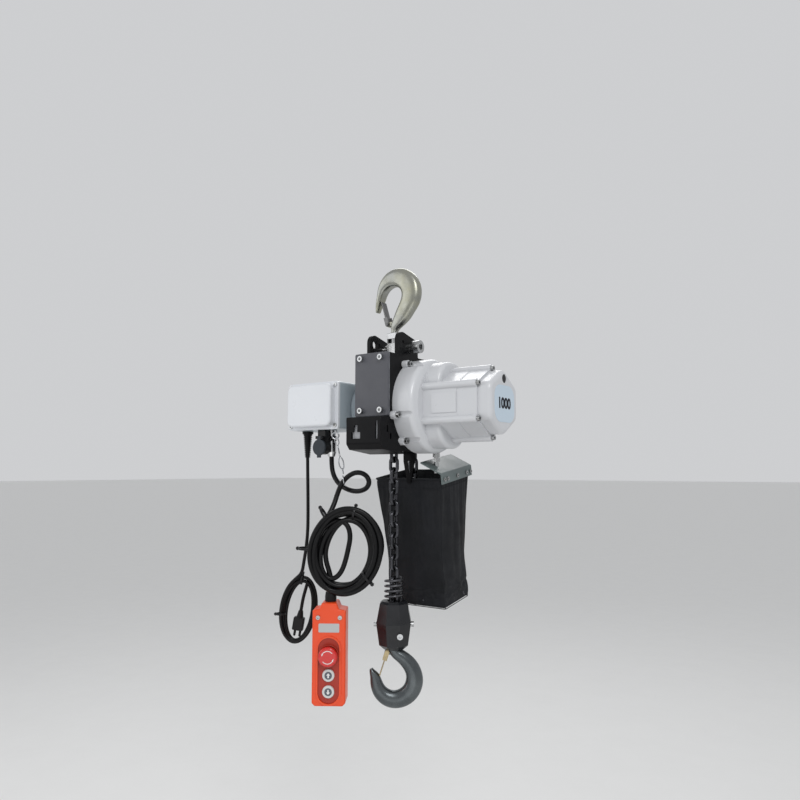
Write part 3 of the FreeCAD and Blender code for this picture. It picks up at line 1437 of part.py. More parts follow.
def case_outline():
    """The pendant case seen from the front."""
    half = size("pendant_width") / 2
    return [(-half, PENDANT_TOP - 12, 3), (-half + 12, PENDANT_TOP - 10, 2), (-half + 16, PENDANT_TOP, 3),
            (half - 16, PENDANT_TOP, 3), (half - 12, PENDANT_TOP - 10, 2), (half, PENDANT_TOP - 12, 3),
            (half, PENDANT_LOW + 5, 4), (half - 5, PENDANT_LOW, 4), (-half + 5, PENDANT_LOW, 4),
            (-half, PENDANT_LOW + 5, 4)]


def inner_outline():
    """The hollow of the pendant case seen from the front."""
    half = size("pendant_width") / 2 - CASE_WALL
    return [(-half, PENDANT_TOP - 15, 2), (half, PENDANT_TOP - 15, 2), (half, PENDANT_LOW + 15, 10),
            (half - 13, PENDANT_LOW + 3, 4), (-half + 13, PENDANT_LOW + 3, 4), (-half, PENDANT_LOW + 15, 10)]


def case_half(name, front):
    """One half of the pendant case: a rounded shell whose open side is the split plane."""
    body = new_body(name)
    outline = sketch_on(body, "XZ_Plane", -SPLIT_Y)
    draw_outline(outline, case_outline())
    depth = HALF_DEPTH + SPLIT_Y if front else HALF_DEPTH - SPLIT_Y
    add_pad(body, outline, depth, reverse=not front)
    outer_face = -HALF_DEPTH if front else HALF_DEPTH
    round_edges(body, 3.0, in_plane("y", outer_face))
    hollow = sketch_on(body, "XZ_Plane", -SPLIT_Y)
    draw_outline(hollow, inner_outline())
    add_pocket(body, hollow, depth - CASE_WALL, reverse=front)
    return body


def stadium(half, low, high):
    """The corners of an upright outline with round ends."""
    corner = half - 0.1
    return [(-half, low, corner), (half, low, corner), (half, high, corner), (-half, high, corner)]


def case_front():
    """The front half, with a raised bezel round the recess that the buttons stand in."""
    body = case_half("pendant_case_front", True)
    bezel = sketch_on(body, "XZ_Plane", HALF_DEPTH - 1)
    draw_outline(bezel, stadium(21.5, -715.5, -600))
    add_pad(body, bezel, BEZEL_HEIGHT + 1)
    recess = sketch_on(body, "XZ_Plane", HALF_DEPTH + BEZEL_HEIGHT)
    draw_outline(recess, stadium(18.5, -712.5, -603))
    add_pocket(body, recess, BEZEL_HEIGHT + 1.0)
    holes = sketch_on(body, "XZ_Plane", HALF_DEPTH)
    draw_circle(holes, 0, STOP_Z, STOP_STEM_R + FIT)
    for z in (UP_Z, DOWN_Z):
        draw_circle(holes, 0, z, "button_radius + 0.06")
    for x in (-19, 19):
        draw_circle(holes, x, PENDANT_TOP - 24, 2.1)
    add_pocket(body, holes, 8)
    return body


add_node("pendant_case_front", case_front(), PENDANT_PLACE)
add_node("pendant_case_back", case_half("pendant_case_back", False), PENDANT_PLACE)


def push_button(z, head):
    """A button with a retaining flange and a stem; head is its drawn upper part."""
    flange = cylinder(12, 1.6, (0, -18.2, z), "Y")
    stem = cylinder(4, 7.5, (0, -17, z), "Y")
    return fuse(head, flange, stem)


def small_button(z):
    """A round push button at height z."""
    head = fillet(cylinder("button_radius", 9, (0, -24.5, z), "Y"), 1.2, in_plane("y", -24.5))
    return push_button(z, head)


def stop_button():
    """The mushroom head on its stem."""
    mushroom = fillet(cylinder("stop_radius", 8, (0, -37, STOP_Z), "Y"), 3.4, in_plane("y", -37))
    stem = cylinder(STOP_STEM_R, 14, (0, -30, STOP_Z), "Y")
    return push_button(STOP_Z, fuse(mushroom, stem))


add_node("up_button", small_button(UP_Z), PENDANT_PLACE)
add_node("down_button", small_button(DOWN_Z), PENDANT_PLACE)
add_node("stop_button", stop_button(), PENDANT_PLACE)

switch_blocks = [fillet(box((-12, -4.5, z - 10), (12, 14, z + 10)), 1.5, along("y"))
                 for z in (STOP_Z, UP_Z, DOWN_Z)]
switch_base = box((-14, 14, -708), (14, 18.4, -618))
add_node("pendant_switches", fuse(switch_base, *switch_blocks), PENDANT_PLACE)


def pendant_sleeve():
    """Rubber sleeve between the coil and the pendant."""
    body = upright_body("pendant_sleeve", [
        (0, PENDANT_TOP + 16), (9, PENDANT_TOP + 16), (10, PENDANT_TOP + 8), (10, PENDANT_TOP),
        (0, PENDANT_TOP)], 0, 0)
    return body


add_node("pendant_sleeve", pendant_sleeve(), PENDANT_PLACE)


def panel_screws():
    """The lid screws of the control box and the pendant's case screws are the same."""
    front = BOX_FRONT - LID_FLANGE
    lid = [cap_screw((x, front, z), "-Y", 3.6, 2.4, 1.65, 13) for x, z in LID_SCREWS]
    case = [cap_screw((x, -HALF_DEPTH, PENDANT_TOP - 24), "-Y", 3.6, 2.4, 1.65, 5) for x in (-19, 19)]
    pendant = group(*case)
    pendant.Placement = PENDANT_PLACE
    return group(*(lid + [pendant]))


add_node("panel_screws", panel_screws())


# ---------------------------------------------------------------- chain bag

BAG_TOP = -333.0
BAG_LOW = -562.0
BAG_FRONT = 32.0
BAG_BACK = 139.0
BAG_FOOT = ((-46, 73), (16, 100))
BAG_MOUTH = ((-70, 76.5), (BAG_FRONT, BAG_BACK))
BAG_TILT = Placement(Vector(), Rotation(Vector(1, 0, 0), 9), Vector(0, BAG_FRONT, BAG_TOP))


def wedge(low, high, x_low, y_low, x_high, y_high):
    """A block whose lower and upper rectangles differ."""
    obj = doc.addObject("Part::Wedge", "Wedge")
    bind(obj, Xmin=x_low[0], Xmax=x_low[1], Zmin=-y_low[1], Zmax=-y_low[0], Ymin=low, Ymax=high,
         X2min=x_high[0], X2max=x_high[1], Z2min=-y_high[1], Z2max=-y_high[0])
    obj.Placement = Placement(Vector(), Rotation(Vector(1, 0, 0), 90))
    return obj


def inset(span, wall):
    """A span made narrower by the wall on both sides."""
    return (span[0] + wall, span[1] - wall)


def chain_bag():
    """Tapered bag, open at the top and leaning back from its front rim."""
    wall = size("bag_wall")
    outer = wedge(BAG_LOW, BAG_TOP, *BAG_FOOT, *BAG_MOUTH)
    inside = [inset(span, wall) for span in BAG_FOOT + BAG_MOUTH]
    bag = cut(outer, wedge(BAG_LOW + wall, BAG_TOP + 0.01, *inside))
    bag.Placement = BAG_TILT
    return bag


add_node("chain_bag", chain_bag())
heap = wedge(BAG_LOW + 3, -524, (-40, 67), (22, 94), (-24, 50), (34, 84))
heap.Placement = BAG_TILT * heap.Placement
add_node("stored_chain", heap)


def bag_bracket():
    """Sloping plate below the gear case with a flange down the bag's right side."""
    body = new_body("bag_bracket")
    body.Placement = BAG_TILT
    profile = sketch_on(body, "XZ_Plane", -BAG_FRONT)
    draw_outline(profile, [(36, -304), (77, -324.5, 2), (77, -342), (79.5, -342), (79.5, -323, 4),
                           (37.1, -301.8)])
    add_pad(body, profile, BAG_BACK - BAG_FRONT, reverse=True)
    hole = sketch_on(body, "XY_Plane", -330)
    draw_circle(hole, STUD[0], STUD[1] + 3.4, 4.7)
    add_pocket(body, hole, 40, reverse=True)
    screws = sketch_on(body, "YZ_Plane", 70)
    for y in BRACKET_SCREWS:
        draw_circle(screws, y, -334, 2.1)
    add_pocket(body, screws, 20, reverse=True)
    return body


STUD = (55.0, 52.0)
STUD_LOW = -322.0
BRACKET_SCREWS = (39, 50, 84, 118, 133)
add_node("bag_bracket", bag_bracket())


def bracket_bolts():
    """Stud with two nuts below the gear case, and four screws through the flange."""
    collar_r = 6.5
    drum_low = AXIS_Z - math.sqrt(size("drum_radius") ** 2 - (STUD[1] - collar_r - AXIS_Y) ** 2)
    stud = cylinder(4.0, drum_low - STUD_LOW, (STUD[0], STUD[1], STUD_LOW))
    nut = hexagon(13, 6.5, (STUD[0], STUD[1], -301.5))
    collar = cylinder(collar_r, 8, (STUD[0], STUD[1], drum_low - 8))
    screws = group(*(cap_screw((79.5, y, -334), "+X", 3.6, 2.6, 2.0, 2.4) for y in BRACKET_SCREWS))
    screws.Placement = BAG_TILT
    return group(fuse(stud, nut, collar), screws)


add_node("bracket_bolts", bracket_bolts())


def bag_hanger():
    """Bent plate from the chain guide's underside to the bag's front rim."""
    body = new_body("bag_hanger")
    outline = sketch_on(body, "XZ_Plane", -(BAG_FRONT - 0.2))
    draw_outline(outline, [(-2, -282.2), (24, -282.2), (24, -292, 3), (14, -340, 3), (6, -340, 3),
                           (-2, -300, 3)])
    add_pad(body, outline, 2.2)
    slot = sketch_on(body, "XZ_Plane", -(BAG_FRONT - 0.2))
    draw_outline(slot, [(7, -300), (13, -300), (11.5, -322), (9, -322)])
    add_pocket(body, slot, 4, reverse=True)
    return body


add_node("bag_hanger", bag_hanger())


# ---------------------------------------------------------------- checks and export

doc.recompute()
for obj in doc.Objects:
    if "Invalid" in obj.State or "Error" in obj.State:
        raise RuntimeError("%s (%s) did not build: %s" % (obj.Name, obj.Label, obj.State))
for obj in nodes:
    if obj.Shape.isNull() or not obj.Shape.isValid() or not obj.Shape.Solids:
        raise RuntimeError(obj.Label + " has no valid solid")

os.makedirs("parts", exist_ok=True)
for obj in nodes:
    obj.Shape.exportStep("parts/%s.step" % obj.Label)
print(len(nodes), "parts written")
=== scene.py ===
import math
import random

import bmesh
import bpy
from mathutils import Euler, Matrix, Vector, noise


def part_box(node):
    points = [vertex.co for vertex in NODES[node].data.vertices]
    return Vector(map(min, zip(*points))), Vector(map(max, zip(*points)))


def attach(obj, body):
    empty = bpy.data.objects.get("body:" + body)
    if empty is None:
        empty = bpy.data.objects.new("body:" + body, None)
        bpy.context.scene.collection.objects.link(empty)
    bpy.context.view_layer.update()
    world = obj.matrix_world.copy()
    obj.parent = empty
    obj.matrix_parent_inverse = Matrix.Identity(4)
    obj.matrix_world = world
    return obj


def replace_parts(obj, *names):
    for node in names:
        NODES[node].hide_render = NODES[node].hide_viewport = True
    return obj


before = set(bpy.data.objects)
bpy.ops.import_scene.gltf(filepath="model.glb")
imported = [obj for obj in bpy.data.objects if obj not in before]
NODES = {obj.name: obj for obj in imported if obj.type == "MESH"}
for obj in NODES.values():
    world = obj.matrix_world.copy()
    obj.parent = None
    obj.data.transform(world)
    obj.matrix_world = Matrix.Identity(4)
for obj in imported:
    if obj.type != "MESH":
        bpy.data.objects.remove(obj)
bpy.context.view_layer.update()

FACING = math.radians(33.0)
RIGHT = Vector((math.cos(FACING), math.sin(FACING), 0))
BACK = Vector((-math.sin(FACING), math.cos(FACING), 0))
UP = Vector((0, 0, 1))


def mm(x, y, z):
    """A point given in millimetres, in metres."""
    return Vector((x, y, z)) / 1000.0


# ---------------------------------------------------------------- camera, light and world

def add_camera():
    """The camera at the photographed angle."""
    data = bpy.data.cameras.new("Camera")
    data.sensor_width = 36.0
    data.lens = 31.5
    data.clip_start = 0.05
    camera = bpy.data.objects.new("Camera", data)
    bpy.context.scene.collection.objects.link(camera)
    camera.location = CAMERA_AT
    camera.rotation_euler = Euler((math.radians(90 + CAMERA_PITCH), 0.0, math.radians(CAMERA_TURN)))
    bpy.context.scene.camera = camera


CAMERA_AT = (0.7302, -1.0269, -0.3161)
CAMERA_PITCH = 5.71
CAMERA_TURN = 35.0
add_camera()


def area_light(name, place, target, size, energy, colour=(1, 1, 1)):
    """A square light that faces its target."""
    data = bpy.data.lights.new(name, "AREA")
    data.shape = "SQUARE"
    data.size = size
    data.energy = energy
    data.color = colour
    light = bpy.data.objects.new(name, data)
    light.location = place
    way = Vector(target) - Vector(place)
    light.rotation_euler = way.to_track_quat("-Z", "Y").to_euler()
    bpy.context.scene.collection.objects.link(light)


MIDDLE = (0, 0, -0.33)
area_light("Key", (1.6, -1.5, 1.2), MIDDLE, 1.0, 24)
area_light("Fill", (-1.7, -1.5, 0.3), MIDDLE, 1.6, 9)
area_light("Rim", (-0.8, 1.5, 1.4), MIDDLE, 1.2, 13)
area_light("Low", (0.4, -1.2, -1.2), MIDDLE, 1.4, 4)

world = bpy.data.worlds.new("World")
world.use_nodes = True
world.node_tree.nodes["Background"].inputs["Color"].default_value = (0.93, 0.94, 0.96, 1)
world.node_tree.nodes["Background"].inputs["Strength"].default_value = 0.66
bpy.context.scene.world = world
bpy.context.scene.view_settings.view_transform = "Standard"


# ---------------------------------------------------------------- materials

class Shader:
    """Short names for building one material's nodes."""

    def __init__(self, name, colour, roughness=0.5, metallic=0.0, **sockets):
        self.material = bpy.data.materials.new(name)
        self.material.use_nodes = True
        self.tree = self.material.node_tree
        self.surface = self.tree.nodes["Principled BSDF"]
        self.set("Base Color", (*colour, 1.0))
        self.set("Roughness", roughness)
        self.set("Metallic", metallic)
        for socket, value in sockets.items():
            self.set(socket.replace("_", " "), value)
        self.colour = colour
        self.coordinates = self.node("ShaderNodeTexCoord").outputs["Object"]
        self.height = None

    def set(self, socket, value):
        """Sets a socket of the surface shader."""
        self.surface.inputs[socket].default_value = value

    def node(self, kind, **values):
        """A new node with its properties set."""
        node = self.tree.nodes.new(kind)
        for name, value in values.items():
            setattr(node, name, value)
        return node

    def link(self, a, b):
        """Joins two sockets."""
        self.tree.links.new(a, b)

    def noise(self, scale, detail=4.0, rough=0.55, stretch=None):
        """The value of a noise texture."""
        texture = self.node("ShaderNodeTexNoise")
        texture.inputs["Scale"].default_value = scale
        texture.inputs["Detail"].default_value = detail
        texture.inputs["Roughness"].default_value = rough
        self.link(self.mapped(stretch), texture.inputs["Vector"])
        return texture.outputs["Fac"]

    def mapped(self, stretch):
        """The coordinates, scaled when a stretch is given."""
        if stretch is None:
            return self.coordinates
        mapping = self.node("ShaderNodeMapping")
        mapping.inputs["Scale"].default_value = stretch
        self.link(self.coordinates, mapping.inputs["Vector"])
        return mapping.outputs["Vector"]

    def wave(self, scale, direction):
        """The value of straight bands across one axis."""
        texture = self.node("ShaderNodeTexWave", bands_direction=direction)
        texture.inputs["Scale"].default_value = scale
        self.link(self.coordinates, texture.inputs["Vector"])
        return texture.outputs["Fac"]

    def ramp(self, value, low, high, from_value=0.0, to_value=1.0):
        """Maps one range of values to another."""
        node = self.node("ShaderNodeMapRange")
        node.inputs["From Min"].default_value = low
        node.inputs["From Max"].default_value = high
        node.inputs["To Min"].default_value = from_value
        node.inputs["To Max"].default_value = to_value
        self.link(value, node.inputs["Value"])
        return node.outputs["Result"]

    def math(self, operation, a, b):
        """One arithmetic step on sockets or numbers."""
        node = self.node("ShaderNodeMath", operation=operation)
        for socket, value in zip(node.inputs, (a, b)):
            if isinstance(value, (int, float)):
                socket.default_value = value
            else:
                self.link(value, socket)
        return node.outputs[0]

    def tint(self, factor, colour):
        """Mixes another colour into the base colour by a factor."""
        node = self.node("ShaderNodeMix", data_type="RGBA")
        socket = self.surface.inputs["Base Color"]
        if socket.links:
            self.link(socket.links[0].from_socket, node.inputs[6])
        else:
            node.inputs[6].default_value = socket.default_value
        node.inputs[7].default_value = (*colour, 1.0)
        self.link(factor, node.inputs[0])
        self.link(node.outputs[2], socket)

    def rough(self, value):
        """Drives the roughness."""
        self.link(value, self.surface.inputs["Roughness"])

    def bump(self, value, strength, distance):
        """Adds one more layer of bump."""
        node = self.node("ShaderNodeBump")
        node.inputs["Strength"].default_value = strength
        node.inputs["Distance"].default_value = distance
        self.link(value, node.inputs["Height"])
        if self.height is not None:
            self.link(self.height, node.inputs["Normal"])
        self.height = node.outputs["Normal"]
        self.link(self.height, self.surface.inputs["Normal"])

    def worn_edges(self, colour):
        """Paler edges where the surface turns sharply, broken up by noise."""
        point = self.node("ShaderNodeNewGeometry").outputs["Pointiness"]
        edge = self.math("MULTIPLY", self.ramp(point, 0.52, 0.60), self.ramp(self.noise(90), 0.35, 0.65))
        self.tint(edge, colour)


def paint(name, colour, roughness, shade, texture=260, depth=0.25, coat=0.0, wear=None, dirt=0.3):
    """Enamel or powder coat: orange-peel bump, faint dirt in the colour and uneven gloss."""
    gloss = 0.14 if max(colour) < 0.03 else 0.5
    shader = Shader(name, colour, roughness, Coat_Weight=coat, Coat_Roughness=0.12,
                    Specular_IOR_Level=gloss)
    shader.tint(shader.ramp(shader.noise(9, 6), 0.38, 0.75, 0.0, dirt), shade)
    shader.rough(shader.ramp(shader.noise(34, 5), 0.3, 0.7, roughness * 0.82, roughness * 1.22))
    shader.bump(shader.noise(texture, 3), depth, 0.0006)
    if wear is not None:
        shader.worn_edges(wear)
    return shader.material


def bare_metal(name, colour, roughness, shade, stretch=(1, 1, 1), grain=220, depth=0.2, metallic=1.0):
    """Forged, turned or plated metal: drawn grain, patches of tone and uneven gloss."""
    shader = Shader(name, colour, roughness, metallic)
    shader.tint(shader.ramp(shader.noise(17, 6), 0.35, 0.7), shade)
    uneven = shader.noise(60, 6, 0.6, stretch)
    shader.rough(shader.ramp(uneven, 0.3, 0.7, roughness * 0.75, roughness * 1.3))
    shader.bump(shader.noise(grain, 6, 0.6, stretch), depth, 0.0005)
    return shader.material


def rubber(name, colour, roughness, texture=500, depth=0.15):
    """Rubber or plastic: a fine grain, a little dust and uneven gloss."""
    shader = Shader(name, colour, roughness, Specular_IOR_Level=0.22)
    dusty = tuple(c * 2.2 + 0.002 for c in colour)
    shader.tint(shader.ramp(shader.noise(30, 5), 0.4, 0.8, 0.0, 0.35), dusty)
    shader.rough(shader.ramp(shader.noise(70, 4), 0.3, 0.7, roughness * 0.8, roughness * 1.2))
    shader.bump(shader.noise(texture, 3), depth, 0.0003)
    return shader.material


def woven(name, colour, thread):
    """Coated cloth: three crossed sets of threads and dusty patches."""
    shader = Shader(name, colour, 0.5, Specular_IOR_Level=0.28)
    shader.tint(shader.ramp(shader.noise(12, 5), 0.42, 0.8, 0.0, 0.5), (0.014, 0.016, 0.022))
    crossed = shader.math("ADD", shader.wave(thread, "Y"), shader.wave(thread, "Z"))
    weave = shader.math("ADD", shader.wave(thread, "X"), crossed)
    shader.bump(weave, 0.25, 0.0004)
    shader.bump(shader.noise(22, 4), 0.3, 0.004)
    shader.rough(shader.ramp(shader.noise(40, 4), 0.3, 0.7, 0.5, 0.74))
    return shader.material


SILVER = (0.58, 0.59, 0.61)
MATERIALS = {
    "case": paint("case_silver", SILVER, 0.32, (0.51, 0.52, 0.54), 150, 0.2, 0.25, None, 0.25),
    "box": paint("box_grey", (0.40, 0.46, 0.50), 0.34, (0.34, 0.40, 0.44), 300, 0.25, 0.15),
    "lid": paint("lid_grey", (0.68, 0.70, 0.73), 0.32, (0.60, 0.62, 0.66), 260, 0.25, 0.2),
    "front": paint("front_grey", (0.072, 0.074, 0.086), 0.45, (0.056, 0.058, 0.068), 500, 0.35, 0.0,
                   (0.20, 0.21, 0.23)),
    "black": paint("black_sheet", (0.0024, 0.0024, 0.003), 0.38, (0.0045, 0.0045, 0.006), 420, 0.25),
    "bracket": paint("bracket_grey", (0.12, 0.15, 0.15), 0.34, (0.09, 0.115, 0.115), 420, 0.2),
    "guide": paint("guide_grey", (0.42, 0.43, 0.45), 0.42, (0.34, 0.35, 0.37), 160, 0.5),
    "pendant": paint("pendant_orange", (0.80, 0.065, 0.004), 0.36, (0.66, 0.045, 0.004), 700, 0.2, 0.1),
    "iron": bare_metal("block_iron", (0.0055, 0.006, 0.008), 0.34, (0.014, 0.015, 0.018), grain=90,
                       depth=0.4, metallic=0.1),
    "chain": bare_metal("chain_dark", (0.045, 0.046, 0.05), 0.22, (0.09, 0.09, 0.10), grain=200,
                        depth=0.2, metallic=0.9),
    "top_hook": bare_metal("hook_zinc", (0.33, 0.34, 0.33), 0.33, (0.38, 0.37, 0.27), grain=70, depth=0.3),
    "low_hook": bare_metal("hook_dark", (0.085, 0.095, 0.10), 0.27, (0.15, 0.165, 0.17), grain=70,
                           depth=0.3, metallic=0.85),
    "latch": bare_metal("latch_brass", (0.46, 0.37, 0.20), 0.32, (0.30, 0.26, 0.19), (1, 1, 5), 260, 0.2),
    "latch_dark": bare_metal("latch_steel", (0.10, 0.10, 0.10), 0.38, (0.2, 0.2, 0.2), (1, 1, 5), 260, 0.2),
    "screw": bare_metal("screw_steel", (0.50, 0.51, 0.52), 0.24, (0.36, 0.36, 0.35), (4, 4, 1), 400, 0.15),
    "machined": bare_metal("machined_steel", (0.55, 0.56, 0.58), 0.22, (0.42, 0.43, 0.45), (6, 1, 1),
                           420, 0.12),
    "spring": bare_metal("spring_dark", (0.035, 0.035, 0.04), 0.30, (0.12, 0.12, 0.13), grain=300,
                         depth=0.2, metallic=0.8),
    "lamination": bare_metal("lamination", (0.24, 0.24, 0.25), 0.45, (0.15, 0.15, 0.16), (60, 1, 1),
                             90, 0.5),
    "copper": bare_metal("winding_copper", (0.62, 0.26, 0.10), 0.35, (0.40, 0.15, 0.05), (1, 8, 8),
                         260, 0.6),
    "gland": bare_metal("gland_nickel", (0.70, 0.70, 0.70), 0.18, (0.50, 0.50, 0.50), (4, 4, 1), 300, 0.1),
    "rubber": rubber("soft_rubber", (0.005, 0.005, 0.0056), 0.48),
    "cord": rubber("cord_rubber", (0.0028, 0.0028, 0.0032), 0.36, 380, 0.12),
    "plastic": rubber("black_plastic", (0.006, 0.006, 0.0066), 0.36, 900, 0.2),
    "cap": rubber("cap_plastic", (0.024, 0.029, 0.035), 0.42, 900, 0.2),
    "stop": paint("stop_red", (0.60, 0.006, 0.004), 0.22, (0.46, 0.004, 0.003), 900, 0.08, 0.5),
    "button": paint("button_grey", (0.60, 0.61, 0.60), 0.28, (0.48, 0.49, 0.48), 900, 0.08, 0.4),
    "bag": woven("bag_cloth", (0.0038, 0.0044, 0.006), 420),
    "board": paint("board_green", (0.02, 0.14, 0.06), 0.4, (0.015, 0.09, 0.04), 600, 0.2),
    "tie": rubber("tie_nylon", (0.012, 0.012, 0.013), 0.28, 700, 0.1),
}

NODE_MATERIALS = {
    "case": ["gear_case", "motor_cover"],
    "pendant": ["pendant_case_front", "pendant_case_back"],
    "box": ["control_box_base", "left_housing"], "lid": ["control_box_lid"], "front": ["front_cover"],
    "black": ["lower_cover", "bag_hanger", "left_side_plate", "right_side_plate", "frame_body"],
    "bracket": ["bag_bracket"], "guide": ["chain_guide"],
    "iron": ["hook_block_front", "hook_block_rear"],
    "chain": ["load_chain", "slack_chain", "wheel_links", "stored_chain"],
    "top_hook": ["top_hook"], "low_hook": ["lower_hook"],
    "latch": ["lower_latch"], "latch_dark": ["top_latch"],
    "screw": ["case_screws", "cross_bolt", "panel_screws", "top_hook_nut", "lanyard", "suspension_block",
              "motor_screws", "hook_block_bolts", "bracket_bolts"],
    "machined": ["load_wheel", "output_gear", "layshaft", "rotor", "brake_disc", "load_bearings",
                 "rotor_bearings"],
    "spring": ["chain_spring"], "lamination": ["stator"], "copper": ["brake_coil"], "gland": ["cord_gland"],
    "rubber": ["power_gland", "pendant_sleeve"],
    "plastic": ["power_plug", "socket_body", "pendant_switches"],
    "cap": ["socket_cap"], "stop": ["stop_button"], "button": ["up_button", "down_button"],
    "board": ["control_board"],
}
for key, names in NODE_MATERIALS.items():
    for name in names:
        node = NODES[name]
        node.data.materials.clear()
        node.data.materials.append(MATERIALS[key])


# ---------------------------------------------------------------- cords

POINT_RADIUS = 0.001


def cord_curve(name, points, diameter, material):
    """One smooth open spline whose control points are the cord's route.

    A curve's own bounds grow by its points' radius, so that is small and the bevel is larger to match."""
    data = bpy.data.curves.new(name, "CURVE")
    data.dimensions = "3D"
    data.resolution_u = 6
    data.bevel_depth = diameter / 2 / POINT_RADIUS
    data.bevel_resolution = 5
    data.use_fill_caps = True
    spline = data.splines.new("NURBS")
    spline.points.add(len(points) - 1)
    for point, place in zip(spline.points, points):
        point.co = (*place, 1.0)
        point.radius = POINT_RADIUS
    spline.order_u = 3
    spline.use_endpoint_u = True
    obj = bpy.data.objects.new(name, data)
    obj.data.materials.append(material)
    bpy.context.scene.collection.objects.link(obj)
    return obj


def local_frame(centre, lean):
    """From an upright oval's own frame (x right, y back, z up, in mm) to the row frame."""
    turn = Matrix.Rotation(FACING, 4, "Z") @ Matrix.Rotation(math.radians(lean), 4, "Y")
    place = Matrix.Translation(mm(*centre)) @ turn

    def convert(x, y, z):
        """A point of the oval's frame in the row frame."""
        return place @ mm(x, y, z)

    return convert


def wound(convert, turns, start, end, per_turn=14):
    """Points of a hank. Each turn is (left, right, top, bottom, depth at left, depth at right)."""
    points = []
    count = int(round((end - start) / 360.0 * per_turn))
    for i in range(count + 1):
        angle = start + (end - start) * i / count
        turn, part = divmod(angle / 360.0, 1.0)
        a = turns[min(int(turn), len(turns) - 1)]
        b = turns[min(int(turn) + 1, len(turns) - 1)]
        left, right, top, low, back_left, back_right = (p + (q - p) * part for p, q in zip(a, b))
        way = math.radians(angle)
        x = (left + right) / 2 + (right - left) / 2 * math.cos(way)
        z = (top + low) / 2 + (top - low) / 2 * math.sin(way)
        y = (back_left + back_right) / 2 + (back_right - back_left) / 2 * math.cos(way)
        points.append(convert(x, y, z))
    return points


in_coil = local_frame((-71.0, -52.0, -457.0), 12)
in_hank = local_frame((-219.4, -17.0, -588.0), 9)

COIL_TURNS = [
    (-50, 58, 68, -70, -10, -4), (-58, 65, 77, -78, -10, -9), (-66, 56, 72, -72, -8, -10),
    (-40, 47, 59, -62, -9, 5), (-44, 4, 40, -52, -1, -3), (-62, 66, 76, -66, 1, 2),
    (-52, 50, 62, -77, 2, 9),
    (-64, 60, 70, -70, 10, 9), (-33, 50, 60, -66, -4, 0), (-36, 50, 60, -66, 5, 0)]
PENDANT_ROUTE = [
    mm(-131.6, -20, -291), mm(-131.5, -20.2, -307), mm(-126, -21, -326), mm(-112.9, -22, -341),
    mm(-92, -23.5, -351.5), mm(-66.1, -25.5, -355.5), mm(-44, -27.5, -350.5), mm(-34.6, -29, -339),
    mm(-38.5, -30.5, -327.5), mm(-50, -32, -321), mm(-64, -33.5, -320.5), mm(-77, -35, -326),
    mm(-88, -36.5, -335), mm(-94.8, -38.5, -346), mm(-99, -42, -361), mm(-99.5, -50, -379),
    mm(-102, -62, -398)]
pendant_points = PENDANT_ROUTE + wound(in_coil, COIL_TURNS, 160, 360 * 8 + 195)
pendant_points += [mm(-93.5, -63.5, -503), mm(-91.2, -65.8, -517), mm(-91, -66, -528)]
pendant_cord = cord_curve("pendant_lead", pendant_points, 0.009, MATERIALS["cord"])

HANK_TURNS = [
    (-35, 28, 70, -55, -4, -3), (-25, 34, 60, -52, -4, 3), (-31, 37, 72, -57, 3, 3),
    (-20, 31, 62, -50, 2, -3),
    (-21, 35, 64, -53, 4, 4), (-21, 35, 64, -53, 4, 4)]
POWER_ROUTE = [
    mm(-195, -17, -292), mm(-194.4, -17, -315), mm(-193, -17.2, -352), mm(-191.6, -17.5, -392),
    mm(-191, -18, -431), mm(-194, -18.5, -463), mm(-199.5, -19, -492), mm(-203.5, -19.2, -512)]
power_points = POWER_ROUTE + wound(in_hank, HANK_TURNS, 110, 360 * 4 + 80)
power_points += [in_hank(10.5, 0, 46), in_hank(8.9, 0, 32), in_hank(8.5, 0, 18), in_hank(8.5, 0, 6)]
power_cord = cord_curve("power_lead", power_points, 0.0064, MATERIALS["cord"])

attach(pendant_cord, "hoist")
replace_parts(pendant_cord, "pendant_cord", "pendant_coil")
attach(power_cord, "hoist")
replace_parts(power_cord, "power_cord", "power_hank")


def spline_points(curve):
    """Points along a curve's own smooth line, from its mesh with no bevel."""
    bevel = curve.data.bevel_depth
    curve.data.bevel_depth = 0
    curve.data.use_fill_caps = False
    bpy.context.view_layer.update()
    mesh = bpy.data.meshes.new_from_object(curve)
    points = [v.co.copy() for v in mesh.vertices]
    bpy.data.meshes.remove(mesh)
    curve.data.bevel_depth = bevel
    curve.data.use_fill_caps = True
    return points


def length_of(points):
    """The length of the line through the points."""
    return sum((b - a).length for a, b in zip(points, points[1:]))


# ---------------------------------------------------------------- mesh helpers

def mesh_object(name, bm, body, material):
    """A smooth mesh that rides on a body."""
    mesh = bpy.data.meshes.new(name)
    bm.normal_update()
    bm.to_mesh(mesh)
    bm.free()
    obj = bpy.data.objects.new(name, mesh)
    bpy.context.scene.collection.objects.link(obj)
    mesh.materials.append(material)
    for polygon in mesh.polygons:
        polygon.use_smooth = True
    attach(obj, body)
    return obj


def apply_modifiers(obj):
    """Bakes the modifiers into the mesh."""
    bpy.context.view_layer.update()
    graph = bpy.context.evaluated_depsgraph_get()
    mesh = bpy.data.meshes.new_from_object(obj.evaluated_get(graph))
    obj.modifiers.clear()
    obj.data = mesh


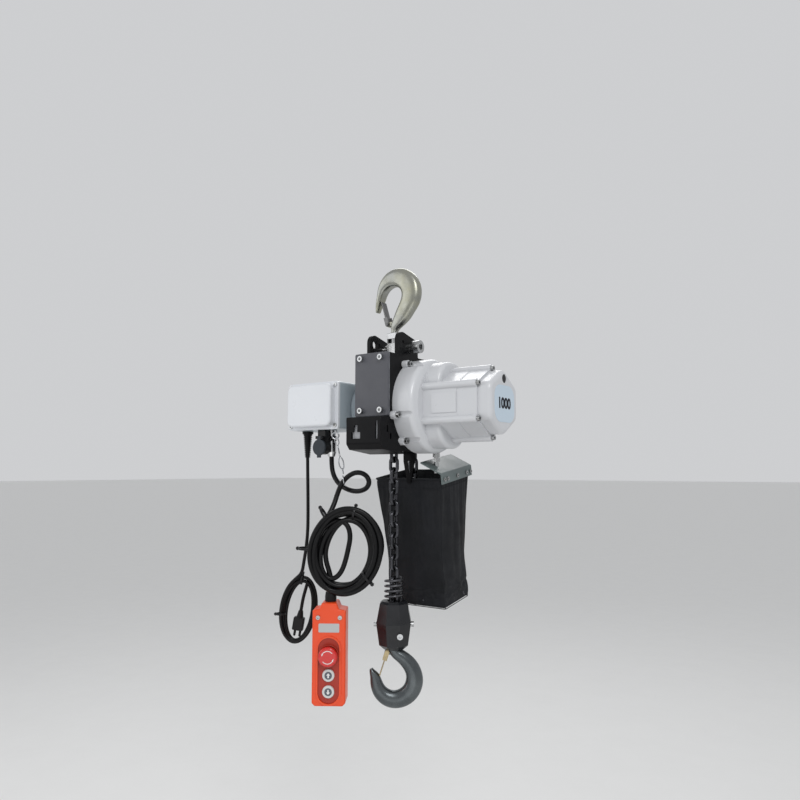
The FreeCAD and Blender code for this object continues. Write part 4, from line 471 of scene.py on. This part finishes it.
def add_tube(bm, points, radius, closed, sides=10):
    """A round tube along the points, added to a mesh; open tubes get flat ends."""
    count = len(points)
    rings = []
    side = None
    for i, point in enumerate(points):
        before = points[(i - 1) % count] if closed or i else point
        after = points[(i + 1) % count] if closed or i < count - 1 else point
        way = (after - before).normalized()
        if side is None:
            side = way.orthogonal().normalized()
        side = (side - way * side.dot(way)).normalized()
        up = way.cross(side)
        ring = []
        for k in range(sides):
            angle = 2 * math.pi * k / sides
            ring.append(bm.verts.new(point + (side * math.cos(angle) + up * math.sin(angle)) * radius))
        rings.append(ring)
    for i in range(count if closed else count - 1):
        a, b = rings[i], rings[(i + 1) % count]
        shift = 0
        if closed and i == count - 1:
            shift = min(range(sides), key=lambda k: (a[0].co - b[k].co).length)
        for k in range(sides):
            bm.faces.new((a[k], a[(k + 1) % sides], b[(k + 1 + shift) % sides], b[(k + shift) % sides]))
    if not closed:
        bm.faces.new(list(reversed(rings[0])))
        bm.faces.new(rings[-1])
    bmesh.ops.recalc_face_normals(bm, faces=bm.faces)


def tube(name, points, radius, closed, body, material):
    """One tube as an object of its own."""
    bm = bmesh.new()
    add_tube(bm, points, radius, closed)
    return mesh_object(name, bm, body, material)


def loop_strap(name, centre, across, along, half_width, half_height, band, thick, material, body):
    """A cable tie: a closed band round a bundle, with its square head and cut tail."""
    bm = bmesh.new()
    across = across.normalized()
    along = along.normalized()
    out = along.cross(across).normalized()
    rings = []
    count = 28
    for i in range(count):
        angle = 2 * math.pi * i / count
        ring = []
        for reach, side in ((0, -1), (thick, -1), (thick, 1), (0, 1)):
            radial = across * math.cos(angle) * (half_width + reach)
            radial += out * math.sin(angle) * (half_height + reach)
            ring.append(bm.verts.new(centre + radial + along * side * band / 2))
        rings.append(ring)
    for i in range(count):
        a, b = rings[i], rings[(i + 1) % count]
        for j in range(4):
            bm.faces.new((a[j], a[(j + 1) % 4], b[(j + 1) % 4], b[j]))
    head = centre + across * (half_width + thick)
    for low, high in (((-0.5, -1.0, -1.0), (0.9, 1.0, 1.0)), ((0.2, -0.2, -0.7), (1.7, 0.1, 0.7))):
        corners = []
        for k in range(8):
            pick = [high[i] if k >> i & 1 else low[i] for i in range(3)]
            corners.append(bm.verts.new(head + across * pick[0] * 0.002 + out * pick[1] * band * 0.75
                                        + along * pick[2] * band * 0.75))
        for face in ((0, 1, 3, 2), (4, 6, 7, 5), (0, 4, 5, 1), (2, 3, 7, 6), (0, 2, 6, 4), (1, 5, 7, 3)):
            bm.faces.new([corners[k] for k in face])
    bmesh.ops.recalc_face_normals(bm, faces=bm.faces)
    obj = mesh_object(name, bm, body, material)
    bevel = obj.modifiers.new("Bevel", "BEVEL")
    bevel.width = 0.0004
    bevel.segments = 2
    apply_modifiers(obj)
    return obj


# ---------------------------------------------------------------- chain bag

BAG_LOW, BAG_TOP = -562.0, -333.0
BAG_FOOT = (-46.0, 73.0, 16.0, 100.0)
BAG_MOUTH = (-70.0, 76.5, 32.0, 139.0)
SIDE_COLUMNS = ((36, 6), (22, 6))
AROUND = 140
ROWS = 54
FOOT_MIDDLE = (13.5, 58)
RIM_CORNER = mm(0, 32, BAG_TOP)
BAG_LEAN = math.radians(9)
LEAN_BACK = (Matrix.Translation(RIM_CORNER) @ Matrix.Rotation(BAG_LEAN, 4, "X")
             @ Matrix.Translation(-RIM_CORNER))


def bag_place(x, y, height):
    """A point of the bag's upright frame at a height of 0..1, in the object's frame."""
    return LEAN_BACK @ mm(x, y, BAG_LOW + (BAG_TOP - BAG_LOW) * height)


def bag_point(column, height, inset=0.0):
    """A point of the wall's outline; the columns run round the front, right, back and left sides."""
    left, right, front, back = (a + (b - a) * height for a, b in zip(BAG_FOOT, BAG_MOUTH))
    left, right, front, back = left + inset, right - inset, front + inset, back - inset
    corner = 3.5 + 3.0 * height
    starts = ((left + corner, front), (right, front + corner),
              (right - corner, back), (left, back - corner))
    ends = ((right - corner, front), (right, back - corner),
            (left + corner, back), (left, front + corner))
    centres = ((right - corner, front + corner), (right - corner, back - corner),
               (left + corner, back - corner), (left + corner, front + corner))
    column = column % AROUND
    for side in range(4):
        flat, bend = SIDE_COLUMNS[side % 2]
        if column < flat:
            part = column / flat
            return tuple(p + (q - p) * part for p, q in zip(starts[side], ends[side]))
        column -= flat
        if column < bend:
            angle = math.radians(-90 + 90 * side + 90 * column / bend)
            return centres[side][0] + corner * math.cos(angle), centres[side][1] + corner * math.sin(angle)
        column -= bend
    return starts[0]


def bag_push(x, y, height, column):
    """How far the wall leaves its outline: folds that hang from the rim, and the chain's bulge below."""
    slack = math.sin(math.pi * height) ** 0.8
    fold = noise.noise(Vector((x * 0.022, y * 0.022, height * 2.6))) * 4.2
    fold += noise.noise(Vector((x * 0.06 + 7, y * 0.06, height * 7.0))) * 1.7
    fold += noise.noise(Vector((x * 0.05, y * 0.06 + 3, height * 1.1))) * 3.0
    if height == 1.0:
        return 0.4 * math.sin(column * 0.7)
    return slack * fold - 2.4 * math.sin(math.pi * height) + 1.0 * math.exp(-((height - 0.12) / 0.16) ** 2)


def make_bag():
    """Coated cloth bag: walls that hang in folds from the rim and fill out at the chain's heap."""
    bm = bmesh.new()
    grid = []
    for row in range(ROWS + 1):
        height = row / ROWS
        ring = []
        for column in range(AROUND):
            x, y = bag_point(column, height, 1.6)
            out = Vector((x - 6.0, y - 72.0, 0)).normalized()
            push = min(bag_push(x, y, height, column), 1.4)
            ring.append(bm.verts.new(bag_place(x + out.x * push, y + out.y * push, 0.006 + 0.994 * height)))
        grid.append(ring)
    for a, b in zip(grid, grid[1:]):
        for column in range(AROUND):
            following = (column + 1) % AROUND
            bm.faces.new((a[column], a[following], b[following], b[column]))
    bottom = [grid[0]]
    for step in (0.75, 0.45, 0.15):
        ring = []
        for column in range(AROUND):
            x, y = bag_point(column, 0.0, 1.6)
            sink = noise.noise(Vector((x * 0.05, y * 0.05, 3.0))) * 0.005
            inward_x = FOOT_MIDDLE[0] + (x - FOOT_MIDDLE[0]) * step
            inward_y = FOOT_MIDDLE[1] + (y - FOOT_MIDDLE[1]) * step
            ring.append(bm.verts.new(bag_place(inward_x, inward_y, 0.006 + abs(sink))))
        bottom.append(ring)
    for a, b in zip(bottom, bottom[1:]):
        for column in range(AROUND):
            following = (column + 1) % AROUND
            bm.faces.new((b[column], b[following], a[following], a[column]))
    bm.faces.new(list(reversed(bottom[-1])))
    return bm


def simulate(obj, pinned, frames=14):
    """Lets the cloth settle under its own weight with some points held, then applies it."""
    group = obj.vertex_groups.new(name="held")
    for index, weight in pinned:
        group.add([index], weight, "REPLACE")
    modifier = obj.modifiers.new("Cloth", "CLOTH")
    settings = modifier.settings
    settings.quality = 8
    settings.mass = 0.4
    settings.tension_stiffness = 25
    settings.compression_stiffness = 25
    settings.shear_stiffness = 8
    settings.bending_stiffness = 1.2
    settings.shrink_min = -0.035
    settings.vertex_group_mass = "held"
    modifier.collision_settings.use_collision = False
    modifier.point_cache.frame_start = 1
    modifier.point_cache.frame_end = frames
    scene = bpy.context.scene
    for frame_number in range(1, frames + 1):
        scene.frame_set(frame_number)
    apply_modifiers(obj)
    scene.frame_set(1)


bag_mesh = make_bag()
held = []
for row in range(ROWS + 1):
    hold = 1.0 if row in (0, 1, ROWS - 1, ROWS) else 0.0
    if row < 12:
        hold = max(hold, 0.6 - row * 0.05)
    held += [(row * AROUND + column, hold) for column in range(AROUND) if hold > 0]
held += [(i, 1.0) for i in range((ROWS + 1) * AROUND, len(bag_mesh.verts))]
bag = mesh_object("bag", bag_mesh, "hoist", MATERIALS["bag"])
rest_places = [v.co.copy() for v in bag.data.vertices]
simulate(bag, held)
for index, (vertex, rest) in enumerate(zip(bag.data.vertices, rest_places)):
    move = vertex.co - rest
    limit = 0.0005 + 0.0045 * math.sin(math.pi * min(1.0, index / (ROWS * AROUND)))
    if move.length > limit:
        vertex.co = rest + move.normalized() * limit
wall = [v.co.copy() for v in bag.data.vertices]
solid = bag.modifiers.new("Solidify", "SOLIDIFY")
solid.thickness = 0.0014
solid.offset = -1
smooth = bag.modifiers.new("Subdivision", "SUBSURF")
smooth.levels = 1
apply_modifiers(bag)
for polygon in bag.data.polygons:
    polygon.use_smooth = True
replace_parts(bag, "chain_bag")

BINDING = woven("bag_binding", (0.005, 0.006, 0.008), 700)
rim = [wall[ROWS * AROUND + column] for column in range(AROUND)]
tube("bag_rim", rim, 0.0019, True, "hoist", BINDING)
hem = [wall[(ROWS - 4) * AROUND + column] for column in range(AROUND)]
tube("bag_hem", hem, 0.0007, True, "hoist", BINDING)
for index, column in enumerate((39, 67, 109, 137)):
    seam = [wall[row * AROUND + column] for row in range(ROWS)]
    tube("bag_seam_%d" % index, seam, 0.0009, False, "hoist", BINDING)
foot = [wall[column] for column in range(AROUND)]
tube("bag_foot_seam", foot, 0.0007, True, "hoist", BINDING)


def link_points(turn, place):
    """The centre line of one chain link, turned and placed."""
    points = []
    for i in range(16):
        angle = 2 * math.pi * i / 16
        x = 7.3 * math.cos(angle)
        z = 6.4 * math.copysign(1, math.sin(angle)) + 6.6 * math.sin(angle) if i % 8 else 0.0
        points.append(turn @ mm(x, 0, z * 0.96) + place)
    return points


def make_heap():
    """Loose links of the stored chain, heaped in the foot of the bag."""
    bm = bmesh.new()
    dice = random.Random(5)
    for layer, height in enumerate((0.045, 0.085, 0.125)):
        for i in range(9 - layer):
            for j in range(6 - layer):
                x = -27 + layer * 5 + i * 10.6 + dice.uniform(-2, 2)
                y = 32 + layer * 4 + j * 10.2 + dice.uniform(-2, 2)
                turn = Euler([dice.uniform(0, math.pi) for _ in range(3)]).to_matrix()
                add_tube(bm, link_points(turn, bag_place(x, y, height)), 0.0031, True, 8)
    return mesh_object("chain_heap", bm, "hoist", MATERIALS["chain"])


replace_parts(make_heap(), "stored_chain")


# ---------------------------------------------------------------- plates, labels and button faces

def rounded_plate(name, place, across, up, half_x, half_z, corner, thick, body, material):
    """A thin plate with rounded corners and a soft edge; across and up span it."""
    bm = bmesh.new()
    normal = across.cross(up).normalized()
    outline = []
    for sx, sz, first in ((1, 1, 0), (-1, 1, 90), (-1, -1, 180), (1, -1, 270)):
        for k in range(9):
            angle = math.radians(first + 90 * k / 8)
            outline.append((sx * (half_x - corner) + corner * math.cos(angle),
                            sz * (half_z - corner) + corner * math.sin(angle)))
    rings = []
    for inset, lift in ((0, 0), (0, thick * 0.6), (thick * 0.5, thick)):
        ring = []
        for x, z in outline:
            shrink = 1 - inset / max(half_x, half_z)
            reach = across * x * shrink + up * z * shrink + normal * lift
            ring.append(bm.verts.new(place + reach / 1000.0))
        rings.append(ring)
    for a, b in zip(rings, rings[1:]):
        for k in range(len(a)):
            m = (k + 1) % len(a)
            bm.faces.new((a[k], a[m], b[m], b[k]))
    bm.faces.new(rings[-1])
    bm.faces.new(list(reversed(rings[0])))
    bmesh.ops.recalc_face_normals(bm, faces=bm.faces)
    obj = mesh_object(name, bm, body, material)
    for polygon in obj.data.polygons:
        polygon.use_smooth = False
    return obj


LABEL = paint("label_blue", (0.52, 0.62, 0.71), 0.35, (0.46, 0.56, 0.65), 900, 0.1, 0.2)
INK = paint("label_ink", (0.006, 0.007, 0.014), 0.4, (0.01, 0.01, 0.016), 900, 0.1)


def number(text, place, across, up, height, material, name, body):
    """A raised printed number as a mesh; across is its reading direction."""
    data = bpy.data.curves.new(name, "FONT")
    data.body = text
    data.size = height / 1000.0
    data.align_x = "CENTER"
    data.align_y = "CENTER"
    data.extrude = 0.00012
    data.offset = 0.0011
    data.space_character = 0.95
    text_obj = bpy.data.objects.new(name + "_text", data)
    bpy.context.scene.collection.objects.link(text_obj)
    bpy.context.view_layer.update()
    mesh = bpy.data.meshes.new_from_object(text_obj)
    bpy.data.objects.remove(text_obj)
    normal = across.cross(up)
    turn = Matrix((across, up, normal)).transposed().to_4x4()
    mesh.transform(Matrix.Translation(place) @ turn)
    obj = bpy.data.objects.new(name, mesh)
    bpy.context.scene.collection.objects.link(obj)
    mesh.materials.clear()
    mesh.materials.append(material)
    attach(obj, body)
    return obj


Y_AXIS = Vector((0, 1, 0))
END_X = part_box("motor_cover")[1].x * 1000
rounded_plate("motor_label", mm(END_X + 0.02, 28, -206), Y_AXIS, UP, 36, 31, 20, 0.4, "hoist", LABEL)
number("1000", mm(END_X + 0.52, 26.5, -206), Y_AXIS, UP, 24, INK, "motor_label_number", "hoist")
rounded_plate("motor_plug", mm(END_X - 1.95, 28, -203 + 39.5), Y_AXIS, UP, 7.2, 7.2, 7.1, 1.7, "hoist",
              MATERIALS["plastic"])

PENDANT_FOOT = mm(-91, -66, 0)


def on_pendant(x, y, z):
    """A point in the pendant's own frame: x to its right, y backward, z up, in mm."""
    return PENDANT_FOOT + (RIGHT * x + BACK * y + UP * z) / 1000.0


def flat_shape(name, outline, place, body, material, thick=0.3):
    """A thin flat shape on the pendant's front; the outline is in the plate's own x and z."""
    bm = bmesh.new()
    rings = []
    for lift in (0.0, thick):
        rings.append([bm.verts.new(place + (RIGHT * x + UP * z - BACK * lift) / 1000.0)
                      for x, z in outline])
    count = len(outline)
    for k in range(count):
        following = (k + 1) % count
        bm.faces.new((rings[0][k], rings[0][following], rings[1][following], rings[1][k]))
    bm.faces.new(rings[1])
    bm.faces.new(list(reversed(rings[0])))
    bmesh.ops.recalc_face_normals(bm, faces=bm.faces)
    obj = mesh_object(name, bm, body, material)
    for polygon in obj.data.polygons:
        polygon.use_smooth = False
    return obj


def arc_outline(radius, half_width, start, end, count=18):
    """A curved band with an arrow's point at its end."""
    def at(reach, angle):
        """A point of the band in the plate's own x and z."""
        return reach * math.cos(math.radians(angle)), reach * math.sin(math.radians(angle))

    angles = [start + (end - start) * k / count for k in range(count + 1)]
    outline = [at(radius + half_width, a) for a in angles]
    outline += [at(radius + 2.4 * half_width, end), at(radius, end + 26),
                at(radius - 2.4 * half_width, end)]
    return outline + [at(radius - half_width, a) for a in reversed(angles)]


PLATE_GREY = paint("pendant_plate_grey", (0.46, 0.47, 0.47), 0.34, (0.38, 0.39, 0.39), 900, 0.1, 0.2)
# The darker red is painted shade: a darker copy of the pendant's orange for the button recess and the ring
# round the stop button.
RECESS_SHADE_RED = paint("pendant_recess_painted_shade", (0.40, 0.022, 0.006), 0.42, (0.30, 0.016, 0.005), 700, 0.2)
BUTTON_DARK = paint("button_dark", (0.07, 0.085, 0.105), 0.3, (0.05, 0.06, 0.08), 900, 0.1, 0.3)
MARK = paint("button_mark", (0.78, 0.78, 0.77), 0.35, (0.66, 0.66, 0.65), 900, 0.1)
rounded_plate("pendant_plate", on_pendant(0, -21.02, -586.6), RIGHT, UP, 18, 7.5, 1.6, 0.5, "hoist",
              PLATE_GREY)
# A thin plate of the darker red fills the button recess as painted shade.
rounded_plate("pendant_recess", on_pendant(0, -20.02, -657.75), RIGHT, UP, 18.4, 54.6, 18.3, 0.2, "hoist",
              RECESS_SHADE_RED)
STOP_Z, UP_Z, DOWN_Z = -632.0, -665.0, -692.0
ARROW = [(-1.2, -3.8), (1.2, -3.8), (1.2, 0.4), (3.4, 0.4), (0, 4.2), (-3.4, 0.4), (-1.2, 0.4)]
for button, height, way in (("up_button", UP_Z, 1), ("down_button", DOWN_Z, -1)):
    body = button + "_body"
    rounded_plate(button + "_disc", on_pendant(0, -24.52, height), RIGHT, UP, 6.4, 6.4, 6.3, 0.35, body,
                  BUTTON_DARK)
    flat_shape(button + "_arrow", [(x, z * way) for x, z in ARROW], on_pendant(0, -24.88, height), body,
               MARK)
for index, start in enumerate((40, 220)):
    band = arc_outline(10.4, 0.55, start, start + 105)
    flat_shape("stop_arrow_%d" % index, band, on_pendant(0, -37.02, STOP_Z), "stop_button_body", MARK,
               0.25)
# A ring round the stop button in the same painted-shade red.
ring_points = []
for k in range(40):
    angle = 2 * math.pi * k / 40
    ring_points.append(on_pendant(17.0 * math.cos(angle), -23.3, STOP_Z + 17.0 * math.sin(angle)))
tube("stop_collar", ring_points, 0.0011, True, "hoist", RECESS_SHADE_RED)


# ---------------------------------------------------------------- lanyard and ties

EYE = Vector((-100.6, -46.0, -252.0))
LOOP_TIE = Vector((-88.0, -36.5, -335.0))
CHROME = bare_metal("lanyard_chrome", (0.62, 0.63, 0.65), 0.16, (0.46, 0.47, 0.49), grain=500, depth=0.1)


def ring_of(centre, across, up, half_x, half_z, count=28):
    """Points round an oval; the centre is in mm."""
    points = []
    for k in range(count):
        angle = 2 * math.pi * k / count
        reach = across * half_x * math.cos(angle) + up * half_z * math.sin(angle)
        points.append(centre / 1000.0 + reach / 1000.0)
    return points


down = (LOOP_TIE + Vector((0, 0, 8)) - EYE).normalized()
sideways = down.cross(BACK).normalized()
lanyard = bmesh.new()
add_tube(lanyard, [mm(EYE.x, EYE.y, -242.2), mm(EYE.x, EYE.y, -247)], 0.0024, False)
add_tube(lanyard, ring_of(EYE + Vector((0, 0, -1.5)), RIGHT, UP, 6, 6), 0.0014, True)
add_tube(lanyard, ring_of(EYE + down * 12.5, sideways, down, 3.4, 7.0), 0.0010, True)
add_tube(lanyard, [(EYE + down * t) / 1000.0 for t in (18.5, 26, 34, 42)], 0.0013, False)
add_tube(lanyard, ring_of(EYE + down * 53, sideways, down, 4.2, 11.0), 0.0012, True)
add_tube(lanyard, ring_of(EYE + down * 67.5, BACK, down, 3.4, 4.6), 0.0010, True)
add_tube(lanyard, ring_of(LOOP_TIE, BACK, down, 6.2, 9.0), 0.0009, True)
lanyard = mesh_object("lanyard_chain", lanyard, "hoist", CHROME)
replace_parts(lanyard, "lanyard")

COIL_TIES = ((-50.4, 53.8, 12), (-68.0, -12.0, 14), (48.3, -39.0, 13), (2, 68, 11))
HANK_TIES = ((0.5, 65.0, 10), (-28.5, -6.0, 9))
for index, (x, z, half_width) in enumerate(COIL_TIES):
    centre = in_coil(x, 0, z)
    across = (in_coil(x, 0, z) - in_coil(0, 0, 0)).normalized()
    along = (in_coil(-z, 0, x) - in_coil(0, 0, 0)).normalized()
    loop_strap("coil_tie_%d" % index, centre, across, along, half_width / 1000, 0.0145, 0.0042, 0.0011,
               MATERIALS["tie"], "hoist")
for index, (x, z, half_width) in enumerate(HANK_TIES):
    centre = in_hank(x, 0, z)
    across = (in_hank(x, 0, z) - in_hank(0, 0, 0)).normalized()
    along = (in_hank(-z, 0, x) - in_hank(0, 0, 0)).normalized()
    loop_strap("hank_tie_%d" % index, centre, across, along, half_width / 1000, 0.0085, 0.0036, 0.0010,
               MATERIALS["tie"], "hoist")


LENGTHS = {"pendant": length_of(spline_points(pendant_cord)), "power": length_of(spline_points(power_cord))}
print("cord lengths", {name: round(value, 4) for name, value in LENGTHS.items()})


# ---------------------------------------------------------------- floor

def make_floor():
    """A large pale floor below the hoist."""
    bm = bmesh.new()
    corners = [bm.verts.new((x, y, -1.25)) for x, y in ((-60, -60), (60, -60), (60, 60), (-60, 60))]
    bm.faces.new(corners)
    mesh = bpy.data.meshes.new("floor")
    bm.to_mesh(mesh)
    bm.free()
    floor = bpy.data.objects.new("floor", mesh)
    mesh.materials.append(paint("floor_paint", (0.80, 0.80, 0.79), 0.7, (0.76, 0.76, 0.75), 60, 0.1))
    bpy.context.scene.collection.objects.link(floor)


make_floor()
